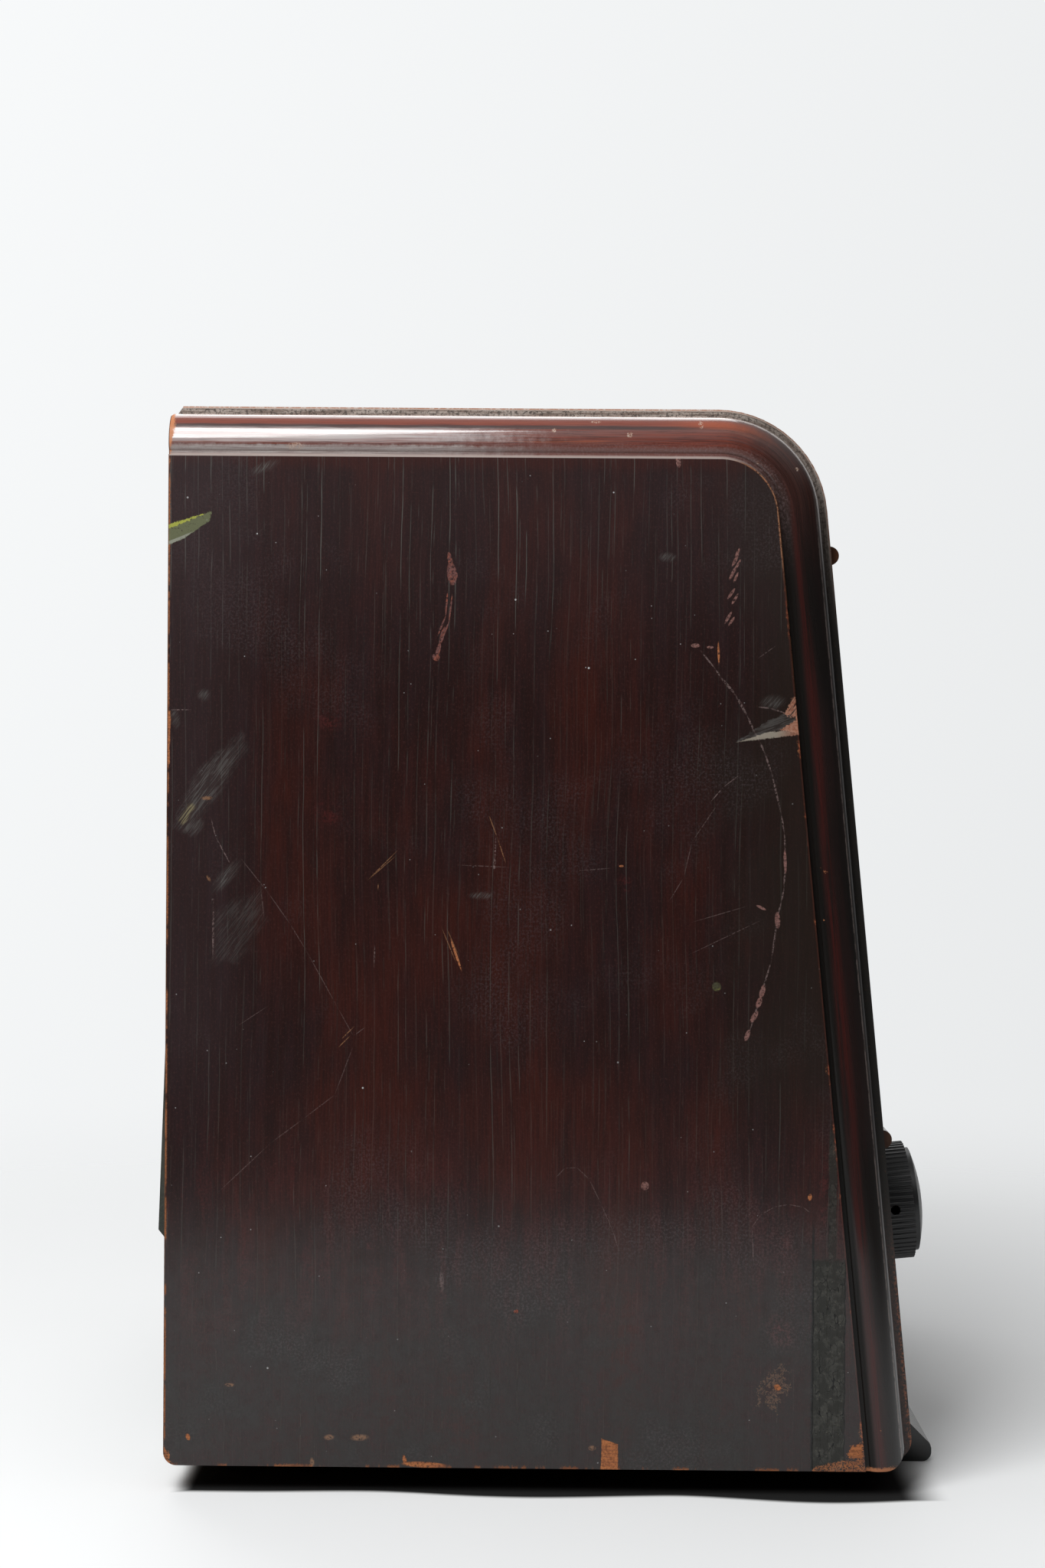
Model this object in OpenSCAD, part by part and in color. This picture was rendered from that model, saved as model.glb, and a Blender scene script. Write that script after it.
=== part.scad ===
// Upright wooden table radio of the 1930s: plywood front and top bent in one piece round a tight
// corner, flat side boards framed by a rolled edge moulding, a leaning front with two planted beads,
// fluted black knobs, black toe feet, a fibreboard back, and the set that works inside it.
// The front faces -Y, +X is to the right seen from the front, +Z is up, and z = 0 is the table.
// Places are worked out in two frames: depth forward from the cabinet's rear edge and height above
// its underside, or the leaning front's own frame, with s up along its face and out away from it.

/* [Cabinet] */
// Width over the side boards
cabinet_w = 360; // [350:1:400]
// Height without the feet
cabinet_h = 400; // [392:1:430]
// Depth at the foot of the front, rear edge to front face
cabinet_d = 284.5; // [276:0.5:310]
// Backward lean of the front in degrees
front_lean = 5.7; // [4.5:0.1:6.5]
// Outside radius where the front bends into the top
bend_r = 42; // [38:1:48]
// Thickness of the side boards
side_t = 12; // [10:0.5:14]
// Thickness of the bent plywood panel
panel_t = 3.5; // [3:0.1:4.5]
// How far the bent panel's edge lies in from the side face
panel_in = 16; // [14:0.5:19]
// Width of the moulding band, outside face to side board
band_w = 20; // [19.5:0.5:23]
// Radius of the moulding's large round
roll_r = 12; // [10:0.5:12]
// Radius of the moulding's small round beside the side board
nose_r = 4; // [3.6:0.1:4.4]
// Depth of the quirk between moulding and side board
quirk_d = 1.2; // [0.8:0.1:3.5]
// Depth of the moulding behind the side face
moulding_d = 24; // [22:0.5:28]
// Radius of the rounded lower front corner
heel_r = 8; // [4:0.5:9]
// Radius of the worn lower rear corner of the side boards
worn_r = 5; // [3:0.5:8]
// How far the upper rear corner is worn forward
worn_v = 3.4; // [1:0.2:5]
// How far the upper rear corner is worn down
worn_h = 4.9; // [1:0.1:6]
// Thickness of the bottom board
bottom_t = 12; // [10:0.5:13]
// Thickness of the baffle board
baffle_t = 9; // [7:0.5:9.5]
// Leg of the three-cornered glue blocks
block_leg = 16; // [12:1:17]
// Length of each glue block
block_l = 45; // [30:1:60]
// Distance from the glue blocks to the back cover and to the front moulding
block_end = 50; // [40:1:60]
// Width of the battens that carry the back cover
batten_w = 12; // [10:0.5:14]
// Thickness of those battens, front to back
batten_t = 16; // [12:0.5:20]
// Height of the top batten
top_batten_h = 24; // [20:0.5:30]

/* [Beads] */
// Radius of the half-round beads
bead_r = 3.6; // [2.5:0.1:3.8]
// How far the beads stop short of the side face
bead_in = 22; // [20:0.5:30]
// Height of the lower bead up the front face
lower_bead_s = 122.5; // [121:0.5:125]
// How far the upper bead lies below the start of the bend
upper_bead_drop = 17; // [14:0.5:24]

/* [Feet] */
// Height of the feet under the cabinet
foot_h = 10; // [6:0.5:14]
// Distance from the side face to the feet
foot_in = 53; // [45:1:60]
// Width of each foot
foot_w = 60; // [50:1:70]
// How far a toe reaches in front of the front face
toe_reach = 12.2; // [8:0.1:14]
// Height of a toe's nose
toe_nose_h = 6.6; // [5.5:0.1:8]
// Radius of the toe's nose
toe_nose_r = 3.8; // [2:0.1:4.2]
// How far a toe block runs back under the cabinet
toe_l = 48; // [40:1:60]
// Length of each rear foot
rear_foot_l = 36; // [30:1:45]
// Distance from the cabinet's rear edge to the rear feet
rear_foot_v = 14; // [8:1:25]

/* [Loudspeaker] */
// Gap between the loudspeaker's ring and the level of the beads
speaker_gap = 11.2; // [8:0.1:14]
// Width of the loudspeaker's mounting ring
ring_w = 13; // [11:0.5:15]
// Thickness of the pressed steel of the basket
basket_t = 1.6; // [1.2:0.1:2]
// Depth of the basket's cone
basket_d = 56; // [50:1:60]
// Radius of the basket's back
basket_back_r = 40; // [36:1:44]
// Number of windows in the basket
basket_windows = 6; // [4:1:8]
// Thickness of the paper cone
cone_t = 0.8; // [0.6:0.1:1.2]
// Radius of the voice coil
coil_r = 14; // [12:0.5:16]
// Radius of the magnet pot
pot_r = 45; // [42:0.5:46]
// Length of the magnet pot
pot_l = 46; // [40:1:50]
// Radius of the loudspeaker's bolts
speaker_bolt = 2; // [1.5:0.1:2.2]
// Width of the fretted opening
fret_w = 250; // [230:1:260]
// Plain margin between the beads and the fretted opening
fret_margin = 24; // [22:0.5:32]
// How far the grille cloth reaches past the fretted opening
cloth_margin = 12; // [8:0.5:12]
// Corner radius of the fretted opening
fret_r = 26; // [10:1:40]
// Number of horizontal bars in the fret
fret_bars = 5; // [4:1:6]
// Thickness of the fret bars
fret_bar = 7; // [5:0.5:9]
// Thickness of the grille cloth
cloth_t = 0.8; // [0.6:0.1:1]

/* [Dial and controls] */
// Distance of the two large knobs from the middle
knob_x = 105; // [103:0.5:108]
// Height of the large knobs up the front face
knob_s = 89.5; // [87:0.1:90]
// Radius of a large knob's fluted skirt
skirt_r = 23.3; // [22:0.1:24]
// Height of a large knob's skirt
skirt_h = 11.6; // [10:0.1:13]
// Radius of a large knob's cap
cap_r = 20.5; // [18:0.1:20.6]
// Height of the cap's straight rim
cap_rim = 2.1; // [1:0.1:3]
// Rise of the cap's domed face
dome_h = 3.2; // [2:0.1:4]
// Number of flutes round a large knob
flutes = 60; // [40:1:64]
// Height of the wave knob up the front face
wave_s = 36; // [35.5:0.1:37]
// Size of the wave knob against a large one
wave_scale = 0.54; // [0.5:0.01:0.55]
// Gap between the front face and the knobs
knob_gap = 2; // [1.8:0.1:2.5]
// Thickness of the felt rings behind the knobs
felt_t = 1.6; // [1:0.1:1.6]
// Radius of the control shafts
shaft_r = 3; // [2.5:0.05:3.2]
// Running clearance round a turning shaft
run_gap = 0.05; // [0.03:0.01:0.08]
// Radius of the holes in the front for shafts
shaft_hole_r = 5.5; // [5:0.1:6.5]
// Width of the dial opening
dial_w = 120; // [112:1:122]
// Height of the dial opening
dial_h = 50; // [46:1:51]
// Height of the dial's centre up the front face
dial_s = 82.5; // [82:0.5:83]
// Corner radius of the dial opening
dial_r = 6; // [4:0.5:8]
// How far the dial's frame overlaps the front face
bezel_w = 7.5; // [5:0.5:7.5]
// How far the dial's frame stands proud
bezel_h = 3; // [2:0.1:4]
// Thickness of the dial glass
glass_t = 2; // [1.5:0.1:3]
// Depth of the dial scale behind the front face
scale_in = 17.2; // [17:0.1:17.5]
// Radius of the drive drum's groove
drum_r = 26; // [25:0.1:26.5]
// How far the drum's centre lies above the dial's centre
drum_rise = 7.5; // [7:0.1:8]
// Radius of the tuning spindle's groove
spindle_groove_r = 4.3; // [4:0.1:4.6]
// Radius of the groove in the small idler wheels
idler_r = 4; // [3.6:0.1:4.4]
// How far the idler wheels lie outside the ends of the dial opening
idler_out = 14; // [12:0.5:16]
// How far the idler wheels lie above the dial opening
idler_rise = 10; // [9.5:0.1:10.5]
// Radius of the drive cord
cord_r = 0.4; // [0.3:0.05:0.5]
// Gap between the drive cord and its grooves
cord_gap = 0.3; // [0.2:0.05:0.4]
// Radius of the pointer's rail
rail_r = 1.5; // [1.3:0.1:1.6]
// How far from the ends of the dial opening the pointer stops
pointer_margin = 18; // [16:0.5:22]

/* [Chassis] */
// Depth of the dial plate behind the front face
plate_in = 32; // [31:0.5:34]
// Thickness of the steel sheet
sheet_t = 1.2; // [1:0.1:1.5]
// Gap between the chassis and the glue blocks on both sides
chassis_gap = 2; // [1:0.5:6]
// Height of the chassis top above the cabinet's underside
chassis_top = 54; // [52:0.5:55]
// Distance from the cabinet's rear edge to the chassis
chassis_v = 30; // [28:0.5:34]
// Thickness of the wooden runners under the chassis
runner_t = 4; // [3:0.5:5]
// Width of the turned-in flanges that take the bolts
flange_w = 14; // [13:0.5:16]
// Radius of the chassis bolts
bolt_r = 2.5; // [2:0.1:3]
// Radius of the bore of the aerial and earth sockets
socket_bore_r = 2; // [1.6:0.1:2.2]
// Length of those sockets
socket_l = 12; // [10:0.5:14]
// Radius of the bore of the mains lead's grommet
grommet_bore_r = 4; // [3.5:0.1:4.5]
// Radius of the coil cans
coil_can_r = 16; // [14:0.5:17]
// Height of the coil cans
coil_can_h = 74; // [60:1:80]
// Radius of the smoothing cans
smoothing_can_r = 16.5; // [14:0.5:18]
// Height of the smoothing cans
smoothing_can_h = 88; // [70:1:95]
// Width of the mains transformer's core
core_w = 76; // [70:1:80]
// Thickness of the core's stack
core_d = 32; // [26:1:36]
// Height of the core
core_h = 66; // [60:1:70]
// Width of the core's middle leg
leg_w = 26; // [22:1:28]
// Height of the windows in the core
window_h = 40; // [36:1:44]
// Radius of the valve bases
valve_r = 15; // [13:0.5:16]
// Height of the valve bases
valve_base_h = 26; // [22:1:30]
// Radius of the valves' glass at its widest
bulb_r = 20; // [17:0.5:21]
// Radius of the tuning gang's moving plates
gang_r = 18.5; // [17:0.1:19]
// Distance from one moving plate to the next
gang_pitch = 4; // [3.6:0.1:4.2]
// Number of moving plates in each section of the gang
gang_plates = 6; // [4:1:6]

/* [Back cover] */
// How far the back cover lies inside the rear edge
cover_in = 2; // [1:0.5:4]
// Thickness of the fibreboard
cover_t = 4; // [3:0.5:5]
// Gap round the back cover
cover_gap = 0.5; // [0.3:0.1:1]
// Width of the cover's raised hood
hood_w = 240; // [220:1:260]
// Height of the hood's lower edge above the cabinet's underside
hood_z0 = 62; // [60:1:70]
// How far the hood's upper edge lies below the cabinet's top
hood_drop = 68; // [60:1:100]
// How far the hood stands out behind the rear edge, low down
hood_d = 10.8; // [8:0.1:13]
// How far it stands out near its top
hood_top_d = 2.9; // [2:0.1:5]
// Thickness of the hood's wall
hood_t = 2; // [1.5:0.1:2.5]
// Length of the hood's sloping lower lip
hood_lip = 16; // [12:1:20]

/* [Hidden] */
$fn = 96;

veneer = "#4a1a12";
veneer_worn = "#5a2014";
bare_wood = "#b98a55";
black = "#17140f";
steel = "#9a9c9c";
brass = "#b08d4a";
side_x = cabinet_w / 2;
bend_z = cabinet_h - bend_r;
bend_v = face_v(bend_z, bend_r);
front_run = (bend_z + bend_r * sin(front_lean)) / cos(front_lean);
upper_bead_s = front_run - upper_bead_drop;
speaker_s = (lower_bead_s + upper_bead_s) / 2;
fret_h = upper_bead_s - lower_bead_s - 2 * fret_margin;
speaker_r = (upper_bead_s - lower_bead_s) / 2 - speaker_gap;
speaker_hole_r = speaker_r - ring_w;
speaker_bolt_r = speaker_r - ring_w / 2;
drum_s = dial_s + drum_rise;
idler_x = dial_w / 2 + idler_out;
idler_s = dial_s + dial_h / 2 + idler_rise;
pointer_travel = dial_w / 2 - pointer_margin;
hood_z1 = cabinet_h - hood_drop;
centre_y = (cabinet_d + toe_reach - hood_d) / 2;
inner_x = side_x - side_t;
between_x = side_x - moulding_d;
board_v = cover_in + cover_t;
baffle_in = panel_t + baffle_t;
baffle_s0 = baffle_in * tan(front_lean);
baffle_s1 = front_run - 6;
cord_in = plate_in - 9;
cord_at = cord_r + cord_gap;
drum_w = 6;
wheel_w = 5;
pulley_lip = 1.6;
chassis_in = plate_in + sheet_t;
chassis_w = 2 * (inner_x - block_leg - chassis_gap);
chassis_z0 = bottom_t + runner_t;
bolt_x = chassis_w / 2 - flange_w / 2;
bolt_inset = 18;
bolt_vs = [chassis_v + bolt_inset, cabinet_d - plate_in - 2.2 * bolt_inset];
rail_s = idler_s + idler_r + cord_at + 4.2;
screw_z = [hood_z0 + 26, cabinet_h * 0.62];
screws = [for (x = [-1, 1]) each [
  [x * (inner_x - batten_w / 2), screw_z[0]],
  [x * (inner_x - batten_w / 2), screw_z[1]],
  [x * between_x * 0.76, cabinet_h - panel_t - top_batten_h / 3],
  [x * between_x * 0.76, bottom_t / 2]]];
screw_r = 1.6;
screw_l = 13;
sockets_x = chassis_w / 2 - 60;
sockets_z = (chassis_z0 + chassis_top) / 2;
sockets_pitch = 19;
gang_in0 = plate_in + 4.5;
gang_bank = gang_plates * gang_pitch;
gang_space = 8;
bank_gap = 10;
gang_l = 2 * (gang_bank + gang_space) + bank_gap;
gang_half = gang_r + 2.5;
gang_plate_t = 0.6;
gang_wall = 2;

// Places on the chassis top: distance from the cabinet's middle, and depth forward from the rear
chassis_end = chassis_w / 2;
rear_row_v = chassis_v + 1.7 * bulb_r;
can_pitch = 2.5 * coil_can_r;
end_valve_x = chassis_end - 2.1 * bulb_r;
can_x = end_valve_x - bulb_r - coil_can_r - 6;
valve_spots = [[-chassis_end + 2 * bulb_r, rear_row_v + 4.7 * bulb_r], [-1.4 * bulb_r, rear_row_v],
  [1.9 * bulb_r, rear_row_v], [chassis_end - 2.5 * bulb_r, rear_row_v],
  [end_valve_x, rear_row_v + 3.2 * bulb_r]];
can_spots = [[can_x, rear_row_v + 2.2 * bulb_r], [can_x, rear_row_v + 2.2 * bulb_r + can_pitch],
  [chassis_end - 2 * coil_can_r, rear_row_v + 5.7 * bulb_r]];
smoothing_spots = [for (i = [0, 1]) [-2.6 * bulb_r, rear_row_v + 3.2 * bulb_r + i * can_pitch]];
transformer_spot = [-chassis_end + core_w / 2 + 8, rear_row_v + core_d / 2];

// Front face's depth from the rear edge at height z, or that of a plane lying deep behind it
function face_v(z, deep = 0) = cabinet_d - z * tan(front_lean) - deep / cos(front_lean);

// Frames
module cabinet_frame() {
  translate([0, centre_y, foot_h]) children();
}

module on_front(x = 0, s = 0, out = 0) {
  translate([0, -cabinet_d, 0]) rotate([90 - front_lean, 0, 0]) translate([x, s, out]) children();
}

module side_view() {
  rotate([90, 0, -90]) children();
}

// Extrudes a side view, drawn as depth forward and height, across the width
module across(x_from, x_to) {
  translate([x_to, 0, 0]) side_view() linear_extrude(x_to - x_from) children();
}

// Extrudes a rear view, drawn as x and height, forward from depth v
module forward(v, length) {
  translate([0, -v, 0]) rotate([90, 0, 0]) linear_extrude(length) children();
}

module both_sides() {
  children();
  mirror([1, 0, 0]) children();
}

// Plain shapes
module rounded_rect(w, h, r) {
  square([w - 2 * r, h], center = true);
  square([w, h - 2 * r], center = true);
  for (x = [-1, 1], y = [-1, 1]) translate([x * (w / 2 - r), y * (h / 2 - r)]) circle(r);
}

module ring(r_out, r_in, h) {
  linear_extrude(h) difference() {
    circle(r_out);
    circle(r_in);
  }
}

// Cabinet outline in side view, lying deep behind the outside face of front and top
module outline(deep, over = 0) {
  r = bend_r - deep;
  polygon([[-over, -over], [face_v(-over, deep), -over],
    [bend_v + r * cos(front_lean), bend_z + r * sin(front_lean)], [bend_v, bend_z + r],
    [-over, bend_z + r]]);
  translate([bend_v, bend_z]) circle(r);
}

// What the rounded lower front corner leaves away, tangent to the front and the underside
module heel_cut(deep) {
  v = face_v(heel_r, deep + heel_r);
  high = heel_r * (1 + sin(front_lean));
  difference() {
    polygon([[v, heel_r], [v, -1], [v + 3 * heel_r, -1], [v + 3 * heel_r, high],
      [v + heel_r * cos(front_lean), high]]);
    translate([v, heel_r]) circle(heel_r);
  }
}

// What wear has taken off the upper rear corner
module rear_wear() {
  polygon([[-1, cabinet_h + 1], [-1, cabinet_h - worn_h], [0, cabinet_h - worn_h], [worn_v, cabinet_h],
    [worn_v, cabinet_h + 1]]);
}

// Cabinet
module side_board() {
  cabinet_frame() across(inner_x, side_x) difference() {
    outline(band_w);
    difference() {
      translate([-1, -1]) square(worn_r + 1);
      translate([worn_r, worn_r]) circle(worn_r);
    }
  }
}

module side_board_right() {
  color(veneer) side_board();
}

module side_board_left() {
  color(veneer) mirror([1, 0, 0]) side_board();
}

// Section of the rolled edge: distance from the bend's centre, and from the cabinet's middle
module moulding_section() {
  crest = bend_r - panel_t - roll_r;
  low = bend_r - band_w;
  intersection() {
    translate([crest, side_x - roll_r]) circle(roll_r);
    translate([crest, side_x - roll_r]) square(roll_r + 1);
  }
  translate([crest, side_x - nose_r]) circle(nose_r);
  translate([crest, side_x - moulding_d]) square([roll_r, moulding_d - roll_r]);
  translate([low, side_x - moulding_d]) square([crest - low, moulding_d - quirk_d]);
}

// The moulding runs along the top, round the bend and down the front
module edge_moulding() {
  cabinet_frame() side_view() difference() {
    union() {
      translate([0, bend_z, 0]) rotate([90, 0, 90]) linear_extrude(bend_v) moulding_section();
      translate([bend_v, bend_z, 0]) rotate([0, 0, front_lean]) {
        rotate_extrude(angle = 90 - front_lean) moulding_section();
        rotate([90, 0, 0]) linear_extrude(front_run) moulding_section();
      }
    }
    translate([0, -2 * bend_r, 0]) cube([2 * cabinet_d, 2 * bend_r, cabinet_w]);
    linear_extrude(cabinet_w) heel_cut(panel_t);
    linear_extrude(cabinet_w) rear_wear();
  }
}

module edge_moulding_left() {
  color(veneer_worn) edge_moulding();
}

module edge_moulding_right() {
  color(veneer_worn) mirror([1, 0, 0]) edge_moulding();
}

// Horizontal bars and one upright bar stay across the loudspeaker's opening
module fret_slots() {
  pitch = (fret_h + fret_bar) / (fret_bars + 1);
  difference() {
    rounded_rect(fret_w, fret_h, fret_r);
    for (i = [1:fret_bars])
      translate([-fret_w, i * pitch - fret_h / 2 - fret_bar]) square([2 * fret_w, fret_bar]);
    square([fret_bar, 2 * fret_h], center = true);
  }
}

module dial_opening() {
  rounded_rect(dial_w, dial_h, dial_r);
}

// Everything that passes through the front, cut from a board lying deep behind the face
module control_holes(deep) {
  on_front(0, dial_s, -deep) linear_extrude(deep + 1) dial_opening();
  for (x = [-knob_x, knob_x]) on_front(x, knob_s, -deep) cylinder(r = shaft_hole_r, h = deep + 1);
  on_front(0, wave_s, -deep) cylinder(r = shaft_hole_r, h = deep + 1);
}

module front_and_top_panel() {
  color(veneer) cabinet_frame() difference() {
    across(panel_in - side_x, side_x - panel_in) difference() {
      outline(0);
      outline(panel_t, 2);
      heel_cut(0);
      rear_wear();
    }
    control_holes(panel_t + 1);
    on_front(0, speaker_s, -panel_t - 1) linear_extrude(panel_t + 2) fret_slots();
  }
}

module bottom_profile(deep) {
  polygon([[board_v, 0], [face_v(0, deep), 0], [face_v(bottom_t, deep), bottom_t],
    [board_v, bottom_t]]);
}

module chassis_bolt_spots() {
  for (x = [-bolt_x, bolt_x], v = bolt_vs) translate([x, -v, 0]) children();
}

module screw_spots() {
  for (p = screws) translate([p[0], -cover_in, p[1]]) rotate([90, 0, 0]) children();
}

module bottom_board() {
  color(bare_wood) cabinet_frame() difference() {
    union() {
      across(-between_x, between_x) bottom_profile(baffle_in);
      both_sides() across(between_x, inner_x) bottom_profile(band_w);
    }
    chassis_bolt_spots() translate([0, 0, -1]) cylinder(r = bolt_r + 0.3, h = bottom_t + 2);
    screw_spots() cylinder(r = screw_r, h = screw_l + 1);
  }
}

module glue_blocks() {
  color(bare_wood) cabinet_frame() both_sides()
    for (v = [board_v + block_end, cabinet_d - band_w - block_end - block_l])
    translate([inner_x, -v, bottom_t]) rotate([90, 0, 0]) linear_extrude(block_l)
      polygon([[0, 0], [-block_leg, 0], [0, block_leg]]);
}

module rear_battens() {
  color(bare_wood) cabinet_frame() difference() {
    union() {
      both_sides() translate([inner_x - batten_w, -board_v - batten_t, bottom_t])
        cube([batten_w, batten_t, cabinet_h - band_w - bottom_t]);
      translate([-between_x, -board_v - batten_t, cabinet_h - panel_t - top_batten_h])
        cube([2 * between_x, batten_t, top_batten_h]);
    }
    screw_spots() cylinder(r = screw_r, h = screw_l + 1);
  }
}

// A toe rises in front of the face, then slants down at 45 degrees to a rounded nose
nose_flat = 1.2;
module toe_profile() {
  v = cabinet_d + toe_reach;
  slant = toe_reach - 0.1;
  difference() {
    polygon([[cabinet_d - toe_l, 0], [v, 0], [v, toe_nose_h - nose_flat],
      [v - nose_flat / 2, toe_nose_h + nose_flat / 2], [v - slant, toe_nose_h + slant],
      [v - slant, foot_h], [cabinet_d - toe_l, foot_h]]);
    difference() {
      translate([v - toe_nose_r, -1]) square([toe_nose_r + 1, toe_nose_r + 1]);
      translate([v - toe_nose_r, toe_nose_r]) circle(toe_nose_r);
    }
  }
}

module front_feet() {
  foot_x = side_x - foot_in;
  color(black) translate([0, 0, -foot_h]) cabinet_frame()
    both_sides() across(foot_x - foot_w, foot_x) toe_profile();
}

module rear_feet() {
  foot_x = side_x - foot_in;
  color(black) translate([0, 0, -foot_h]) cabinet_frame() both_sides()
    translate([foot_x - foot_w, -rear_foot_v - rear_foot_l, 0]) cube([foot_w, rear_foot_l, foot_h]);
}

module bead(s) {
  cabinet_frame() on_front(0, s) intersection() {
    rotate([0, 90, 0]) cylinder(r = bead_r, h = 2 * (side_x - bead_in), center = true);
    translate([-side_x, -2 * bead_r, 0]) cube([cabinet_w, 4 * bead_r, 2 * bead_r]);
  }
}

module upper_bead() {
  color(brass) bead(upper_bead_s);
}

module lower_bead() {
  color(brass) bead(lower_bead_s);
}

// Cloth and baffle behind the front. The loudspeaker's bolts lie sunk under the cloth
bolt_head_h = 2;
bolt_hole = speaker_bolt + 0.1;
bolt_top = panel_t + cloth_t + 0.3;

module cloth_sheet(margin) {
  on_front(0, speaker_s, -panel_t - cloth_t) linear_extrude(cloth_t)
    square([fret_w + 2 * cloth_margin + margin, fret_h + 2 * cloth_margin + margin], center = true);
}

module grille_cloth() {
  color("#8a6f45") cabinet_frame() cloth_sheet(0);
}

module speaker_bolt_spots(deep) {
  for (a = [45:90:315]) on_front(speaker_bolt_r * cos(a), speaker_s + speaker_bolt_r * sin(a), -deep)
    children();
}

module baffle_board() {
  color(bare_wood) cabinet_frame() difference() {
    on_front(-between_x, baffle_s0, -baffle_in)
      cube([2 * between_x, baffle_s1 - baffle_s0, baffle_t]);
    cloth_sheet(0.4);
    control_holes(baffle_in + 1);
    on_front(0, speaker_s, -baffle_in - 1) cylinder(r = speaker_hole_r, h = baffle_t + 2);
    speaker_bolt_spots(baffle_in + 1) cylinder(r = bolt_hole, h = baffle_t + 2);
    speaker_bolt_spots(bolt_top + bolt_head_h + 0.1)
      cylinder(r1 = bolt_hole, r2 = bolt_hole + bolt_head_h + 0.2, h = bolt_head_h + 0.2);
  }
}

// Loudspeaker, drawn from the back of the baffle inwards
module speaker_frame() {
  on_front(0, speaker_s, -baffle_in) mirror([0, 0, 1]) children();
}

module speaker_basket() {
  rim_r = speaker_hole_r;
  color("#5c5f62") cabinet_frame() difference() {
    speaker_frame() difference() {
      rotate_extrude() polygon([[rim_r - 2, 0], [speaker_r, 0], [speaker_r, basket_t],
        [rim_r + basket_t, basket_t], [basket_back_r + basket_t, basket_d],
        [basket_back_r + basket_t, basket_d + basket_t], [coil_r + 4, basket_d + basket_t],
        [coil_r + 4, basket_d], [basket_back_r, basket_d], [rim_r - 2, basket_t]]);
      for (i = [0:basket_windows - 1]) rotate([0, 0, (i + 0.5) * 360 / basket_windows])
        translate([basket_back_r, -15, 12]) cube([rim_r, 30, basket_d - 20]);
    }
    speaker_bolt_spots(baffle_in + basket_t + 1) cylinder(r = bolt_hole, h = basket_t + 2);
  }
}

// Paper cone with its flat rim, a dust cap and the voice coil's tube
module speaker_cone() {
  outer_r = speaker_hole_r - 2.2;
  depth = basket_d - coil_r;
  rim_w = 8;
  rim_in = basket_t / 2;
  former_l = 10;
  cap_rise = 7;
  color("#2b2622") cabinet_frame() speaker_frame() rotate_extrude() {
    translate([outer_r - rim_w - 1, rim_in]) square([rim_w + 1, cone_t]);
    polygon([[outer_r - rim_w, rim_in], [outer_r - rim_w, rim_in + 2 * cone_t],
      [coil_r, depth + cone_t], [coil_r - cone_t, depth + cone_t], [coil_r - cone_t, depth - cone_t]]);
    translate([coil_r - cone_t, depth - cone_t]) square([cone_t, former_l]);
    polygon([[0, depth - cap_rise], [coil_r - cone_t, depth - 2 * cone_t], [coil_r - cone_t, depth],
      [0, depth - cap_rise + cone_t]]);
  }
}

module speaker_magnet() {
  lid_step = 8;
  color(black) cabinet_frame() speaker_frame() translate([0, 0, basket_d + basket_t]) difference() {
    union() {
      cylinder(r = pot_r, h = pot_l);
      translate([0, 0, pot_l]) cylinder(r = pot_r - lid_step, h = lid_step / 2);
    }
    translate([0, 0, -1]) ring(coil_r + 2, coil_r - 3, coil_r);
  }
}

// The output transformer sits on a saddle on top of the magnet pot
module output_transformer() {
  iron = [38, 26, 26];
  coil = [24, 18, 36];
  saddle_t = 6;
  color("#3a3631") cabinet_frame() speaker_frame()
    translate([0, pot_r, basket_d + basket_t + pot_l / 2]) difference() {
      union() {
        translate([-iron[0] / 2 - 2, -saddle_t, -iron[2] / 2 - 2])
          cube([iron[0] + 4, 2 * saddle_t, iron[2] + 4]);
        translate([-iron[0] / 2, saddle_t, -iron[2] / 2]) cube(iron);
        translate([0, saddle_t + iron[1] / 2, 0]) cube(coil, center = true);
      }
      translate([0, -pot_r, -pot_l]) cylinder(r = pot_r, h = 2 * pot_l);
    }
}

module speaker_bolts() {
  nut_h = 3;
  tip_in = baffle_in + basket_t + 2 * nut_h;
  color(steel) cabinet_frame() {
    speaker_bolt_spots(tip_in) cylinder(r = speaker_bolt, h = tip_in - bolt_top);
    speaker_bolt_spots(bolt_top + bolt_head_h)
      cylinder(r1 = speaker_bolt, r2 = speaker_bolt + bolt_head_h, h = bolt_head_h);
    speaker_bolt_spots(baffle_in + basket_t + nut_h) cylinder(r = 1.95 * speaker_bolt, h = nut_h, $fn = 6);
  }
}

// Dial
module dial_bezel() {
  lip_d = 6;
  color(brass) cabinet_frame() on_front(0, dial_s) {
    difference() {
      union() {
        linear_extrude(bezel_h * 0.55)
          rounded_rect(dial_w + 2 * bezel_w, dial_h + 2 * bezel_w, dial_r + bezel_w);
        linear_extrude(bezel_h)
          rounded_rect(dial_w + bezel_w - 2, dial_h + bezel_w - 2, dial_r + bezel_w / 2 - 1);
      }
      translate([0, 0, -1]) linear_extrude(bezel_h + 2) rounded_rect(dial_w - 6, dial_h - 6, dial_r - 2);
    }
    translate([0, 0, -lip_d]) linear_extrude(lip_d) difference() {
      rounded_rect(dial_w - 0.4, dial_h - 0.4, dial_r - 0.2);
      rounded_rect(dial_w - 4, dial_h - 4, dial_r - 2);
    }
  }
}

module dial_glass() {
  color([0.8, 0.9, 0.85, 0.4]) cabinet_frame() on_front(0, dial_s, -glass_t)
    linear_extrude(glass_t) rounded_rect(dial_w - 4.4, dial_h - 4.4, dial_r - 2.2);
}

post_r = 2;
post_tip_r = 1.2;
post_low = 1 - dial_h / 2;
post_high = 1 + dial_h / 2;
post_spots = [[-dial_w / 2 - 3, post_low], [dial_w / 2 + 3, post_low],
  [-dial_w / 3, post_high], [dial_w / 3, post_high]];
scale_t = 1;

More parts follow.
